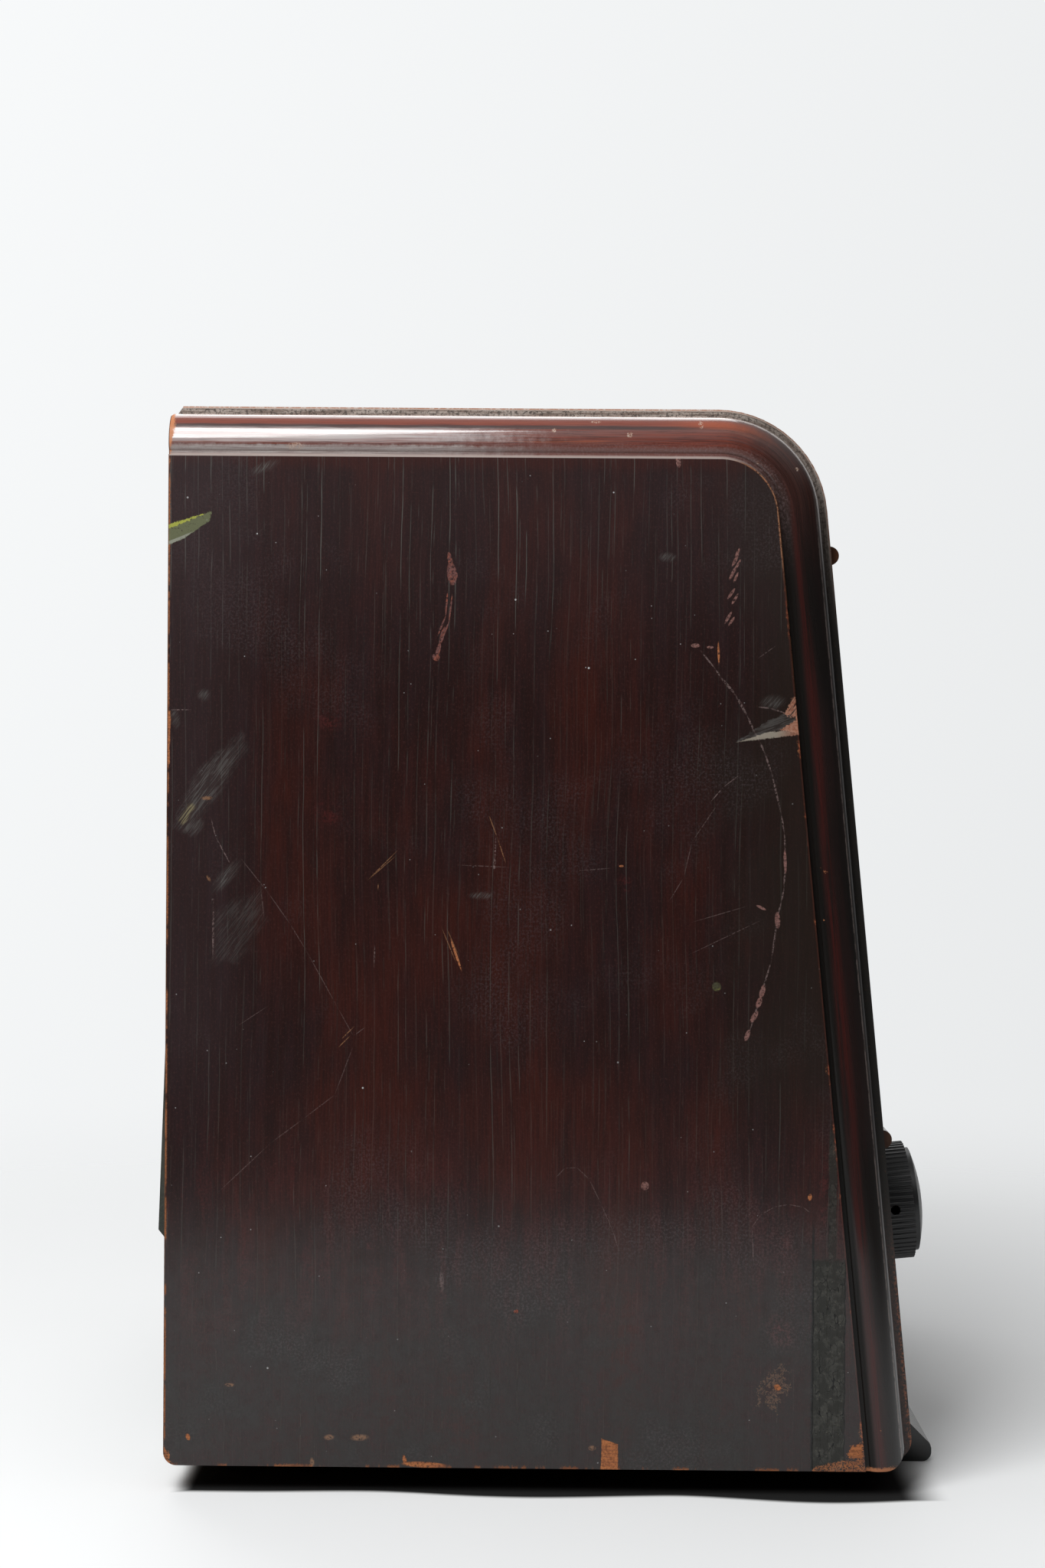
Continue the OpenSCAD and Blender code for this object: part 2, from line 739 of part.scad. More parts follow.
module dial_scale() {
  color("#e8dcb4") cabinet_frame() on_front(0, dial_s, -scale_in - scale_t)
    linear_extrude(scale_t) difference() {
      square([dial_w + 12, dial_h + 8], center = true);
      for (p = post_spots) translate(p) circle(post_tip_r);
    }
}

module scale_posts() {
  color(steel) cabinet_frame() for (p = post_spots) on_front(p[0], dial_s + p[1], -plate_in) {
    cylinder(r = post_r, h = plate_in - scale_in - scale_t);
    cylinder(r = post_tip_r, h = plate_in - scale_in + 0.6);
  }
}

module dial_lamps() {
  lamp_r = 3.5;
  collar_h = 6;
  color([1, 0.9, 0.6]) cabinet_frame() for (x = [-dial_w / 2, dial_w / 2])
    on_front(x, dial_s - dial_h * 0.3, -plate_in) {
      cylinder(r = 1.3 * lamp_r, h = collar_h);
      cylinder(r = lamp_r, h = collar_h + 2.5);
      translate([0, 0, collar_h + 2.5]) sphere(r = lamp_r);
    }
}

module dial_plate() {
  plate_s0 = wave_s - 15;
  plate_s1 = rail_s + 6;
  half = knob_x + skirt_r;
  color(steel) cabinet_frame() difference() {
    on_front(-half, plate_s0, -chassis_in) cube([2 * half, plate_s1 - plate_s0, sheet_t]);
    on_front(0, drum_s, -chassis_in - 1) cylinder(r = 2 * shaft_r, h = sheet_t + 2);
    for (x = [-knob_x, knob_x])
      on_front(x, knob_s, -chassis_in - 1) cylinder(r = bush_r + 0.1, h = sheet_t + 2);
    on_front(0, wave_s, -chassis_in - 1) cylinder(r = bush_r + 0.1, h = sheet_t + 2);
  }
}

rail_end = pointer_travel + 12;

module pointer_rail() {
  color(steel) cabinet_frame() on_front(0, rail_s, -cord_in) {
    rotate([0, 90, 0]) cylinder(r = rail_r, h = 2 * rail_end, center = true);
    both_sides() translate([rail_end, -3, cord_in - plate_in]) cube([5, 6, plate_in - cord_in + 3]);
  }
}

// The carriage slides on the rail and the needle hangs in front of the scale
module dial_pointer() {
  carriage_r = rail_r + 1.6;
  needle_s0 = dial_s - dial_h / 2 + 3;
  color("#c8401e") cabinet_frame() {
    on_front(0, rail_s, -cord_in) difference() {
      union() {
        rotate([0, 90, 0]) cylinder(r = carriage_r, h = 10, center = true);
        translate([-2, -carriage_r + 0.4, 0]) cube([4, 2 * carriage_r - 0.8, cord_in - scale_in + 1.9]);
      }
      rotate([0, 90, 0]) cylinder(r = rail_r + run_gap, h = 30, center = true);
    }
    on_front(-0.8, needle_s0, 1.9 - scale_in) cube([1.6, rail_s + carriage_r - 0.4 - needle_s0, 0.8]);
  }
}

// Wheels of the drive cord: centre and the radius at which the cord runs. The cord is a closed loop
// pulled tight round them, and all four turn the same way
wheels = [[0, drum_s, drum_r + cord_at], [knob_x, knob_s, spindle_groove_r + cord_at],
  [idler_x, idler_s, idler_r + cord_at], [-idler_x, idler_s, idler_r + cord_at]];

arc_steps = 12;

// Direction from each wheel's centre to the point where the cord leaves it for the next wheel
function leave_angle(a, b) =
  atan2(b[1] - a[1], b[0] - a[0]) - acos((a[2] - b[2]) / norm([b[0] - a[0], b[1] - a[1]]));

// The loop's edge on one side of the cord, with an arc of points round each wheel
function loop_edge(side) = [for (i = [0:3])
  let (wheel = wheels[i],
    from = leave_angle(wheels[(i + 3) % 4], wheel),
    sweep = (leave_angle(wheel, wheels[(i + 1) % 4]) - from + 2 * 360) % 360)
  for (k = [0:arc_steps])
    let (a = from + sweep * k / arc_steps)
    [wheel[0] + (wheel[2] + side) * cos(a), wheel[1] + (wheel[2] + side) * sin(a)]];

module drive_cord() {
  color("#6b5a3a") cabinet_frame() on_front(0, 0, -cord_in - cord_r) linear_extrude(2 * cord_r)
    difference() {
      polygon(loop_edge(cord_r));
      polygon(loop_edge(-cord_r));
    }
}

pin_r = 1.5;
end_play = 0.3;

module idler_pins() {
  seat = plate_in - cord_in - wheel_w / 2 - end_play;
  color(steel) cabinet_frame() for (x = [-idler_x, idler_x]) on_front(x, idler_s, -plate_in) {
    cylinder(r = 2 * pin_r, h = seat);
    cylinder(r = pin_r, h = seat + wheel_w + 2 * end_play);
    translate([0, 0, seat + wheel_w + 2 * end_play]) cylinder(r = 1.9 * pin_r, h = 1.2);
  }
}

// A grooved wheel centred on the cord's plane
module grooved_wheel(groove_r, lip, width, bore_r) {
  difference() {
    union() {
      cylinder(r = groove_r, h = width, center = true);
      for (z = [-1, 1]) translate([0, 0, z * (width / 2 - 0.5)])
        cylinder(r = groove_r + lip, h = 1, center = true);
    }
    cylinder(r = bore_r, h = 2 * width, center = true);
  }
}

module idler(x) {
  color(brass) cabinet_frame() on_front(x, idler_s, -cord_in)
    grooved_wheel(idler_r, pulley_lip, wheel_w, pin_r + run_gap);
}

module idler_left() {
  idler(-idler_x);
}

module idler_right() {
  idler(idler_x);
}

// Chassis, an upturned steel pan whose front wall leans with the cabinet's front
module chassis_block(inset, low) {
  across(inset - chassis_w / 2, chassis_w / 2 - inset) polygon([
    [chassis_v + inset, low],
    [face_v(low, chassis_in + inset), low],
    [face_v(chassis_top - inset, chassis_in + inset), chassis_top - inset],
    [chassis_v + inset, chassis_top - inset]]);
}

module chassis() {
  flange_l = cabinet_d - chassis_in - chassis_v - 16;
  color("#8d9294") cabinet_frame() difference() {
    union() {
      difference() {
        chassis_block(0, chassis_z0);
        chassis_block(sheet_t, chassis_z0 - 5);
      }
      both_sides() translate([chassis_w / 2 - flange_w, -chassis_v - flange_l - 5, chassis_z0])
        cube([flange_w, flange_l, sheet_t]);
    }
    chassis_bolt_spots() translate([0, 0, bottom_t]) cylinder(r = bolt_r + 0.2, h = 12);
    for (p = valve_spots) on_chassis(p, -5) cylinder(r = socket_body_r + 1, h = 10);
    for (p = concat(can_spots, smoothing_spots)) on_chassis(p, -5) cylinder(r = 5, h = 10);
    on_front(0, wave_s, -chassis_in - 5) cylinder(r = bush_r + 0.1, h = 10);
    for (i = [-1, 1]) translate([sockets_x + i * sockets_pitch / 2, -chassis_v + 5, sockets_z])
      rotate([90, 0, 0]) cylinder(r = 4.4, h = 10);
    translate([-sockets_x, -chassis_v + 5, sockets_z]) rotate([90, 0, 0])
      cylinder(r = grommet_bore_r + 1.5, h = 10);
  }
}

module chassis_runners() {
  front_gap = 8;
  color(bare_wood) cabinet_frame() difference() {
    both_sides() translate([bolt_x - flange_w / 2, -cabinet_d + plate_in + front_gap, bottom_t])
      cube([flange_w, cabinet_d - plate_in - front_gap - chassis_v, runner_t]);
    chassis_bolt_spots() cylinder(r = bolt_r + 0.3, h = 40);
  }
}

module chassis_bolts() {
  head_h = 3;
  color(steel) cabinet_frame() chassis_bolt_spots() {
    translate([0, 0, -head_h]) cylinder(r = 2 * bolt_r, h = head_h);
    cylinder(r = bolt_r, h = chassis_z0 + sheet_t + 6);
    translate([0, 0, chassis_z0 + sheet_t]) cylinder(r = 1.9 * bolt_r, h = 4, $fn = 6);
  }
}

window_w = leg_w / 2 - 0.5;

module on_chassis(p, z = 0) {
  translate([p[0], -p[1], chassis_top + z]) children();
}

module mains_transformer_core() {
  color("#4b4a48") cabinet_frame() on_chassis(transformer_spot, core_h / 2) difference() {
    cube([core_w, core_d, core_h], center = true);
    for (x = [-1, 1]) translate([x * (leg_w + window_w) / 2, 0, 0])
      cube([window_w, 2 * core_d, window_h], center = true);
  }
}

module mains_transformer_coil() {
  color("#7a4a22") cabinet_frame() on_chassis(transformer_spot, core_h / 2) difference() {
    cube([leg_w + 2 * window_w - 0.6, core_d + leg_w, window_h - 0.6], center = true);
    cube([leg_w + 0.6, core_d + 0.6, 2 * window_h], center = true);
  }
}

socket_t = 3;
socket_body_r = 10;

module valve_sockets() {
  color("#5b3a1e") cabinet_frame() for (p = valve_spots) on_chassis(p) {
    cylinder(r = valve_r + 1.5, h = socket_t);
    translate([0, 0, -2 * socket_t]) cylinder(r = socket_body_r, h = 2 * socket_t);
  }
}

module valve_bases() {
  color(black) cabinet_frame() for (p = valve_spots) on_chassis(p, socket_t)
    cylinder(r = valve_r, h = valve_base_h);
}

// A stepped bulb: a round body with a narrower domed top
module bulb_shape(inset) {
  neck_r = valve_r - 2.5 - inset;
  top_r = bulb_r * 0.6 - inset;
  body_z = bulb_r * 1.2;
  intersection() {
    union() {
      translate([-neck_r, -inset]) square([2 * neck_r, body_z]);
      translate([0, body_z]) circle(bulb_r - inset);
      translate([-top_r, body_z]) square([2 * top_r, bulb_r * 1.5]);
      translate([0, body_z + bulb_r * 1.5]) circle(top_r);
    }
    square([2 * bulb_r, 6 * bulb_r]);
  }
}

module valve_glass() {
  color([0.6, 0.65, 0.65, 0.5]) cabinet_frame() for (p = valve_spots)
    on_chassis(p, socket_t + valve_base_h) rotate_extrude() difference() {
      bulb_shape(0);
      bulb_shape(1);
    }
}

module valve_electrodes() {
  color("#6e6e6c") cabinet_frame() for (p = valve_spots) on_chassis(p, socket_t + valve_base_h) {
    cylinder(r = 5, h = bulb_r * 0.5);
    translate([0, 0, bulb_r * 0.5]) cylinder(r = bulb_r * 0.4, h = bulb_r * 1.6);
  }
}

module coil_cans() {
  color("#b4b8ba") cabinet_frame() for (p = can_spots) on_chassis(p) {
    cylinder(r = coil_can_r, h = coil_can_h);
    translate([0, 0, coil_can_h]) cylinder(r = coil_can_r - 1.5, h = 2);
  }
}

module smoothing_cans() {
  color("#8c8f91") cabinet_frame() for (p = smoothing_spots) on_chassis(p) {
    cylinder(r = smoothing_can_r, h = smoothing_can_h);
    cylinder(r = smoothing_can_r + 2.5, h = 2);
  }
}

// Tuning gang, two sections of fixed plates on one side of a turning shaft
module gang_place() {
  on_front(0, drum_s, -gang_in0) mirror([0, 0, 1]) children();
}

function bank_z(bank) = gang_space + bank * (gang_bank + bank_gap);

module gang_frame() {
  foot = drum_s * cos(front_lean) - gang_in0 * sin(front_lean) - gang_half - chassis_top;
  floor_t = 1.6;
  stud_r = 3;
  color(steel) cabinet_frame() {
    gang_place() difference() {
      union() {
        for (z = [0, gang_l - gang_wall]) translate([-gang_half, -gang_half, z])
          cube([2 * gang_half, 2 * gang_half, gang_wall]);
        translate([-gang_half, -gang_half, 0]) cube([2 * gang_half, floor_t, gang_l]);
        for (y = [-1, 1]) translate([gang_half - 3, y * (gang_half - 4), 0])
          cylinder(r = 1.8, h = gang_l);
        for (bank = [0, 1], i = [0:gang_plates - 1])
          translate([0, floor_t - gang_half, bank_z(bank) + i * gang_pitch])
            cube([gang_half - 1, 2 * gang_half - floor_t - 1, gang_plate_t]);
      }
      translate([0, 0, gang_wall + 1]) cylinder(r = 6.5, h = gang_l - 2 * gang_wall - 2);
      translate([0, 0, -1]) cylinder(r = shaft_r + run_gap, h = gang_l + 2);
    }
    // Four short studs carry the leaning gang on the flat chassis top
    for (x = [-1, 1], u = [4, gang_l - 10]) {
      stud_v = cabinet_d - drum_s * sin(front_lean) - (gang_in0 + u) * cos(front_lean);
      rise = foot - u * sin(front_lean) + 0.6;
      translate([x * (gang_half - 5), -stud_v, chassis_top]) cylinder(r = stud_r, h = rise);
    }
  }
}

module gang_rotor() {
  shaft_out = gang_in0 - cord_in + drum_w / 2 + 1.5;
  color("#c9ccce") cabinet_frame() gang_place() {
    translate([0, 0, -shaft_out]) cylinder(r = shaft_r, h = gang_l + shaft_out + 1);
    for (bank = [0, 1]) {
      translate([0, 0, bank_z(bank)]) cylinder(r = 5, h = gang_bank);
      for (i = [0:gang_plates - 1]) translate([0, 0, bank_z(bank) + (i + 0.5) * gang_pitch])
        intersection() {
          cylinder(r = gang_r, h = gang_plate_t);
          translate([-gang_r, 0, 0]) cube([2 * gang_r, gang_r, gang_plate_t]);
        }
    }
  }
}

module drive_drum() {
  color("#a9acae") cabinet_frame() on_front(0, drum_s, -cord_in) difference() {
    grooved_wheel(drum_r, 2, drum_w, shaft_r);
    for (a = [30:120:270]) rotate([0, 0, a]) translate([drum_r * 0.55, 0, 0])
      cylinder(r = drum_r * 0.22, h = 2 * drum_w, center = true);
  }
}

// Controls, each with a threaded bush, a flat nut and a turning shaft
bush_r = 4.7;

module bush_and_nut(bore_r, length, wall) {
  difference() {
    union() {
      cylinder(r = bush_r, h = length);
      translate([0, 0, wall]) cylinder(r = 1.5 * bush_r, h = bush_r / 2, $fn = 6);
    }
    translate([0, 0, -20]) cylinder(r = bore_r, h = 20 + length + 1);
  }
}

module tuning_bush() {
  color(brass) cabinet_frame() {
    on_front(knob_x, knob_s, -chassis_in) bush_and_nut(shaft_r + run_gap, bush_r, sheet_t);
    on_front(knob_x, knob_s, -chassis_in - 5) ring(bush_r + 1.8, shaft_r + run_gap, 5);
  }
}

grub_r = 1.9;
shaft_tip = knob_gap + skirt_h - 1.5;

module tuning_spindle() {
  color(brass) cabinet_frame() {
    on_front(knob_x, knob_s, -chassis_in - 6) cylinder(r = shaft_r, h = chassis_in + 6 + shaft_tip);
    on_front(knob_x, knob_s, -cord_in)
      grooved_wheel(spindle_groove_r, pulley_lip, wheel_w, shaft_r / 2);
  }
}

module control_body(x, s, wall_in, body_r, body_l) {
  on_front(x, s, -wall_in - body_l) difference() {
    cylinder(r = body_r, h = body_l);
    translate([0, 0, body_l / 2]) cylinder(r = shaft_r + run_gap, h = body_l);
  }
  on_front(x, s, -wall_in) bush_and_nut(shaft_r + run_gap, wall_in - plate_in + 5.5, wall_in - plate_in);
}

module control_shaft(x, s, wall_in, body_l) {
  deep = wall_in + body_l / 2 - 1;
  on_front(x, s, -deep) cylinder(r = shaft_r, h = deep + shaft_tip * (x == 0 ? wave_scale : 1));
}

module volume_control() {
  color("#7d6a45") cabinet_frame() control_body(-knob_x, knob_s, chassis_in, 14, 12);
}

module volume_shaft() {
  color(brass) cabinet_frame() control_shaft(-knob_x, knob_s, chassis_in, 12);
}

module wave_switch() {
  color("#7d6a45") cabinet_frame() control_body(0, wave_s, chassis_in + sheet_t, 12, 14);
}

module wave_shaft() {
  color(brass) cabinet_frame() control_shaft(0, wave_s, chassis_in + sheet_t, 14);
}

// Moulded knob with a fluted skirt, a smooth domed cap, a blind hole and a grub screw
module knob(size, count) {
  r = skirt_r * size;
  rim = cap_r * size;
  dome = dome_h * size;
  skirt = skirt_h * size;
  dome_r = (rim * rim + dome * dome) / (2 * dome);
  flute_r = PI * r / count * 0.72;
  difference() {
    union() {
      linear_extrude(skirt) difference() {
        circle(r);
        for (i = [0:count - 1]) rotate(i * 360 / count) translate([r + flute_r * 0.3, 0]) circle(flute_r);
      }
      translate([0, 0, skirt]) cylinder(r = rim, h = cap_rim * size);
      translate([0, 0, skirt + cap_rim * size]) rotate_extrude() intersection() {
        translate([0, dome - dome_r]) circle(dome_r);
        square([rim, dome]);
      }
    }
    translate([0, 0, -1]) cylinder(r = shaft_r + run_gap, h = skirt);
    translate([0, 0, skirt * 0.35]) rotate([0, -90, 0]) cylinder(r = grub_r, h = r + 1);
  }
  // Grub screw in its hole, with its tip at the shaft
  translate([-shaft_r - run_gap, 0, skirt * 0.35]) rotate([0, -90, 0])
    cylinder(r = grub_r - run_gap, h = 3 * grub_r * size);
}

module tuning_knob() {
  color(black) cabinet_frame() on_front(knob_x, knob_s, knob_gap) knob(1, flutes);
}

module volume_knob() {
  color(black) cabinet_frame() on_front(-knob_x, knob_s, knob_gap) knob(1, flutes);
}

module wave_knob() {
  color(black) cabinet_frame() on_front(0, wave_s, knob_gap) knob(wave_scale, round(flutes * 0.6));
}

module felt_rings() {
  color("#24211d") cabinet_frame() {
    for (x = [-knob_x, knob_x]) on_front(x, knob_s) ring(skirt_r / 2, shaft_hole_r, felt_t);
    on_front(0, wave_s) ring(skirt_r * wave_scale * 0.8, shaft_hole_r, felt_t);
  }
}

// Rear connections
strip_t = 2.5;
strip_w = 48;
strip_h = 20;

module aerial_earth_strip() {
  color("#6a4320") cabinet_frame() forward(chassis_v - strip_t, strip_t) difference() {
    translate([sockets_x, sockets_z]) rounded_rect(strip_w, strip_h, 3);
    for (i = [-1, 1]) translate([sockets_x + i * sockets_pitch / 2, sockets_z]) circle(socket_bore_r + 1.3);
  }
}

module aerial_earth_sockets() {
  color(brass) cabinet_frame() for (i = [-1, 1])
    translate([sockets_x + i * sockets_pitch / 2, -chassis_v + 4, sockets_z]) rotate([90, 0, 0]) {
      ring(socket_bore_r + 1.2, socket_bore_r, socket_l);
      ring(socket_bore_r + 2.4, socket_bore_r, 1.5);
    }
}

grommet_lip = 2.5;

module mains_grommet() {
  color(black) cabinet_frame() translate([-sockets_x, -chassis_v, sockets_z]) rotate([-90, 0, 0]) {
    difference() {
      union() {
        cylinder(r = 2 * grommet_bore_r, h = grommet_lip);
        translate([0, 0, -sheet_t]) cylinder(r = grommet_bore_r + 1.4, h = sheet_t);
        translate([0, 0, -sheet_t - grommet_lip]) cylinder(r = 2 * grommet_bore_r, h = grommet_lip);
      }
      translate([0, 0, -10]) cylinder(r = grommet_bore_r, h = 20);
    }
  }
}

// Back cover
module cover_outline() {
  translate([-inner_x + cover_gap, cover_gap])
    square([2 * (inner_x - cover_gap), cabinet_h - band_w - 2 * cover_gap]);
  translate([-between_x + cover_gap, cover_gap])
    square([2 * (between_x - cover_gap), cabinet_h - panel_t - 2 * cover_gap]);
}

module hood_profile(wall) {
  polygon([[cover_in + 3 * wall, hood_z0 + wall], [wall - hood_d, hood_z0 + hood_lip],
    [wall - hood_top_d, hood_z1 - hood_lip / 2], [cover_in + 3 * wall, hood_z1 - wall]]);
}

vent_pitch = 18;
vent_r = 4;
slot_w = 32;
slot_h = 7;
slot_pitch = 22;

module cover_vents() {
  for (x = [-6:6]) translate([x * vent_pitch, hood_z1 + 22]) circle(vent_r);
  for (x = [-5.5:5.5]) translate([x * vent_pitch, hood_z1 + 38]) circle(vent_r);
}

module hood_slots() {
  for (z = [hood_z0 + 40:slot_pitch:hood_z1 - 40], x = [-2:2])
    translate([x * hood_w * 0.18 - slot_w / 2, -cover_in, z]) cube([slot_w, hood_d + cover_in + 2, slot_h]);
}

module back_cover() {
  color("#2c2f26") cabinet_frame() difference() {
    union() {
      forward(cover_in, cover_t) cover_outline();
      across(-hood_w / 2, hood_w / 2) hood_profile(0);
    }
    across(hood_t - hood_w / 2, hood_w / 2 - hood_t) hood_profile(hood_t);
    hood_slots();
    forward(cover_in - 1, cover_t + 2) {
      cover_vents();
      translate([sockets_x, sockets_z]) rounded_rect(strip_w + 8, strip_h + 6, 5);
      translate([-sockets_x, sockets_z]) circle(2 * grommet_bore_r + 3);
    }
    screw_spots() translate([0, 0, -1]) cylinder(r = screw_r + 0.3, h = cover_t + 2);
  }
}

module back_cover_screws() {
  color(steel) cabinet_frame() screw_spots() {
    cylinder(r = screw_r - 0.1, h = screw_l);
    translate([0, 0, -1.2]) cylinder(r = 2.25 * screw_r, h = 1.2);
  }
}

side_board_left();
side_board_right();
edge_moulding_left();
edge_moulding_right();
front_and_top_panel();
bottom_board();
glue_blocks();
rear_battens();
front_feet();
rear_feet();
upper_bead();
lower_bead();
baffle_board();
grille_cloth();
speaker_basket();
speaker_cone();
speaker_magnet();
output_transformer();
speaker_bolts();
dial_bezel();
dial_glass();
dial_scale();
scale_posts();
dial_lamps();
dial_plate();
pointer_rail();
dial_pointer();
drive_cord();
idler_pins();
idler_left();
idler_right();
chassis();
chassis_runners();
chassis_bolts();
mains_transformer_core();
mains_transformer_coil();
valve_sockets();
valve_bases();
valve_glass();
valve_electrodes();
coil_cans();
smoothing_cans();
gang_frame();
gang_rotor();
drive_drum();
tuning_bush();
tuning_spindle();
tuning_knob();
volume_control();
volume_shaft();
volume_knob();
wave_switch();
wave_shaft();
wave_knob();
felt_rings();
aerial_earth_strip();
aerial_earth_sockets();
mains_grommet();
back_cover();
back_cover_screws();
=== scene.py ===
"""Looks of an upright wooden table radio of the 1930s, made around its packed construction.

The set stands on a pale floor and is seen square on from its left side. Every wooden, metal, glass
and moulded piece keeps its solid and gets its finish here. Only the grille cloth and the dial's
print are made here. Lengths are in millimetres, and the places of camera, lamps and floor in
metres.
"""

import math
from functools import cached_property

import bpy
from mathutils import Matrix, Vector


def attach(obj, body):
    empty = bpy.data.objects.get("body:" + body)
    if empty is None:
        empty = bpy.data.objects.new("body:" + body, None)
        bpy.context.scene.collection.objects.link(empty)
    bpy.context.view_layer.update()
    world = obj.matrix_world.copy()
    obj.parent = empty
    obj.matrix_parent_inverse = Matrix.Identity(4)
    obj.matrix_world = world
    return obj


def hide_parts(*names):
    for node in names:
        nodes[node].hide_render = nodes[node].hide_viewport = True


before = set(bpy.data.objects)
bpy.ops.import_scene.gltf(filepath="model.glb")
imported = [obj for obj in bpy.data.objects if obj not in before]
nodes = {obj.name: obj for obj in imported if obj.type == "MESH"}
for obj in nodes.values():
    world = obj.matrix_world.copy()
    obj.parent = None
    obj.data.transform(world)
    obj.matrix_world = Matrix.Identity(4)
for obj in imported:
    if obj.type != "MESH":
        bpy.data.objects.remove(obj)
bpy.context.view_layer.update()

MM = 0.001

# The cabinet's driving sizes, in millimetres
LEAN = math.radians(5.7)
CABINET_W = 360
CABINET_H = 400
CABINET_D = 284.5
TOE_REACH = 12.2
HOOD_D = 10.8
FOOT_H = 10
BEND_R = 42
PANEL_T = 3.5
PANEL_IN = 16
BASE_Y = (CABINET_D + TOE_REACH - HOOD_D) / 2
BEND_Z = CABINET_H - BEND_R
BEND_V = CABINET_D - BEND_Z * math.tan(LEAN) - BEND_R / math.cos(LEAN)

# The front's layout, in millimetres up the front face and in from it
DIAL_S = 82.5
SCALE_IN = 17.2
SPEAKER_S = 234.7
CLOTH_W = 274
CLOTH_H = 199.9

# The camera, fitted to the set's outline in the photograph, with its turns in degrees
CAMERA_PLACE = Vector((-1.180, 0.00159, 0.2812))
CAMERA_YAW, CAMERA_PITCH, CAMERA_ROLL = -0.451, -0.786, 0.423
LENS = 61.27
SENSOR_H = 36
CLIP_END = 50


def on_front(x, s, out=0.0):
    """Point of the leaning front's own frame, in metres."""
    return Vector((
        x,
        BASE_Y - CABINET_D + s * math.sin(LEAN) - out * math.cos(LEAN),
        FOOT_H + s * math.cos(LEAN) + out * math.sin(LEAN))) * MM


def link(name, data):
    """An object of the scene that holds this data."""
    made = bpy.data.objects.new(name, data)
    bpy.context.scene.collection.objects.link(made)
    return made


def add_camera():
    yaw, pitch, roll = (math.radians(a) for a in (CAMERA_YAW, CAMERA_PITCH, CAMERA_ROLL))
    ahead = Vector((
        math.cos(yaw) * math.cos(pitch), -math.sin(yaw) * math.cos(pitch), math.sin(pitch)))
    right = Vector((-math.sin(yaw), -math.cos(yaw), 0))
    up = right.cross(ahead)
    turned_right = right * math.cos(roll) + up * math.sin(roll)
    turned_up = up * math.cos(roll) - right * math.sin(roll)
    data = bpy.data.cameras.new("camera")
    data.sensor_fit = "VERTICAL"
    data.sensor_height = SENSOR_H
    data.lens = LENS
    data.clip_end = CLIP_END
    camera = link("camera", data)
    turn = Matrix((turned_right, turned_up, -ahead)).transposed()
    camera.matrix_world = Matrix.Translation(CAMERA_PLACE) @ turn.to_4x4()
    bpy.context.scene.camera = camera


# Shader maths: an expression on fields adds the nodes that work it out
class Field:
    """A number, a vector, a colour or a shader that varies over a surface."""

    def __init__(self, graph, socket):
        self.graph = graph
        self.socket = socket

    def math(self, operation, *others, **settings):
        return self.graph.number(operation, self, *others, **settings)

    def __add__(self, other):
        return self.math("ADD", other)

    def __sub__(self, other):
        return self.math("SUBTRACT", other)

    def __rsub__(self, other):
        return self.graph.number("SUBTRACT", other, self)

    def __mul__(self, other):
        return self.math("MULTIPLY", other)

    def __truediv__(self, other):
        return self.math("DIVIDE", other)

    def __pow__(self, other):
        return self.math("POWER", other)

    def __abs__(self):
        return self.math("ABSOLUTE")

    __radd__ = __add__
    __rmul__ = __mul__

    def larger(self, other):
        return self.math("MAXIMUM", other)

    def smaller(self, other):
        return self.math("MINIMUM", other)

    def clamp(self):
        return self.math("ADD", 0, use_clamp=True)

    def rise(self, low, high):
        """0 below low and 1 above high, smooth between. With low above high it falls."""
        if low > high:
            return 1 - self.rise(high, low)
        return self.graph.field(
            "MapRange", "Result", {"interpolation_type": "SMOOTHSTEP"},
            {"Value": self, "From Min": low, "From Max": high})


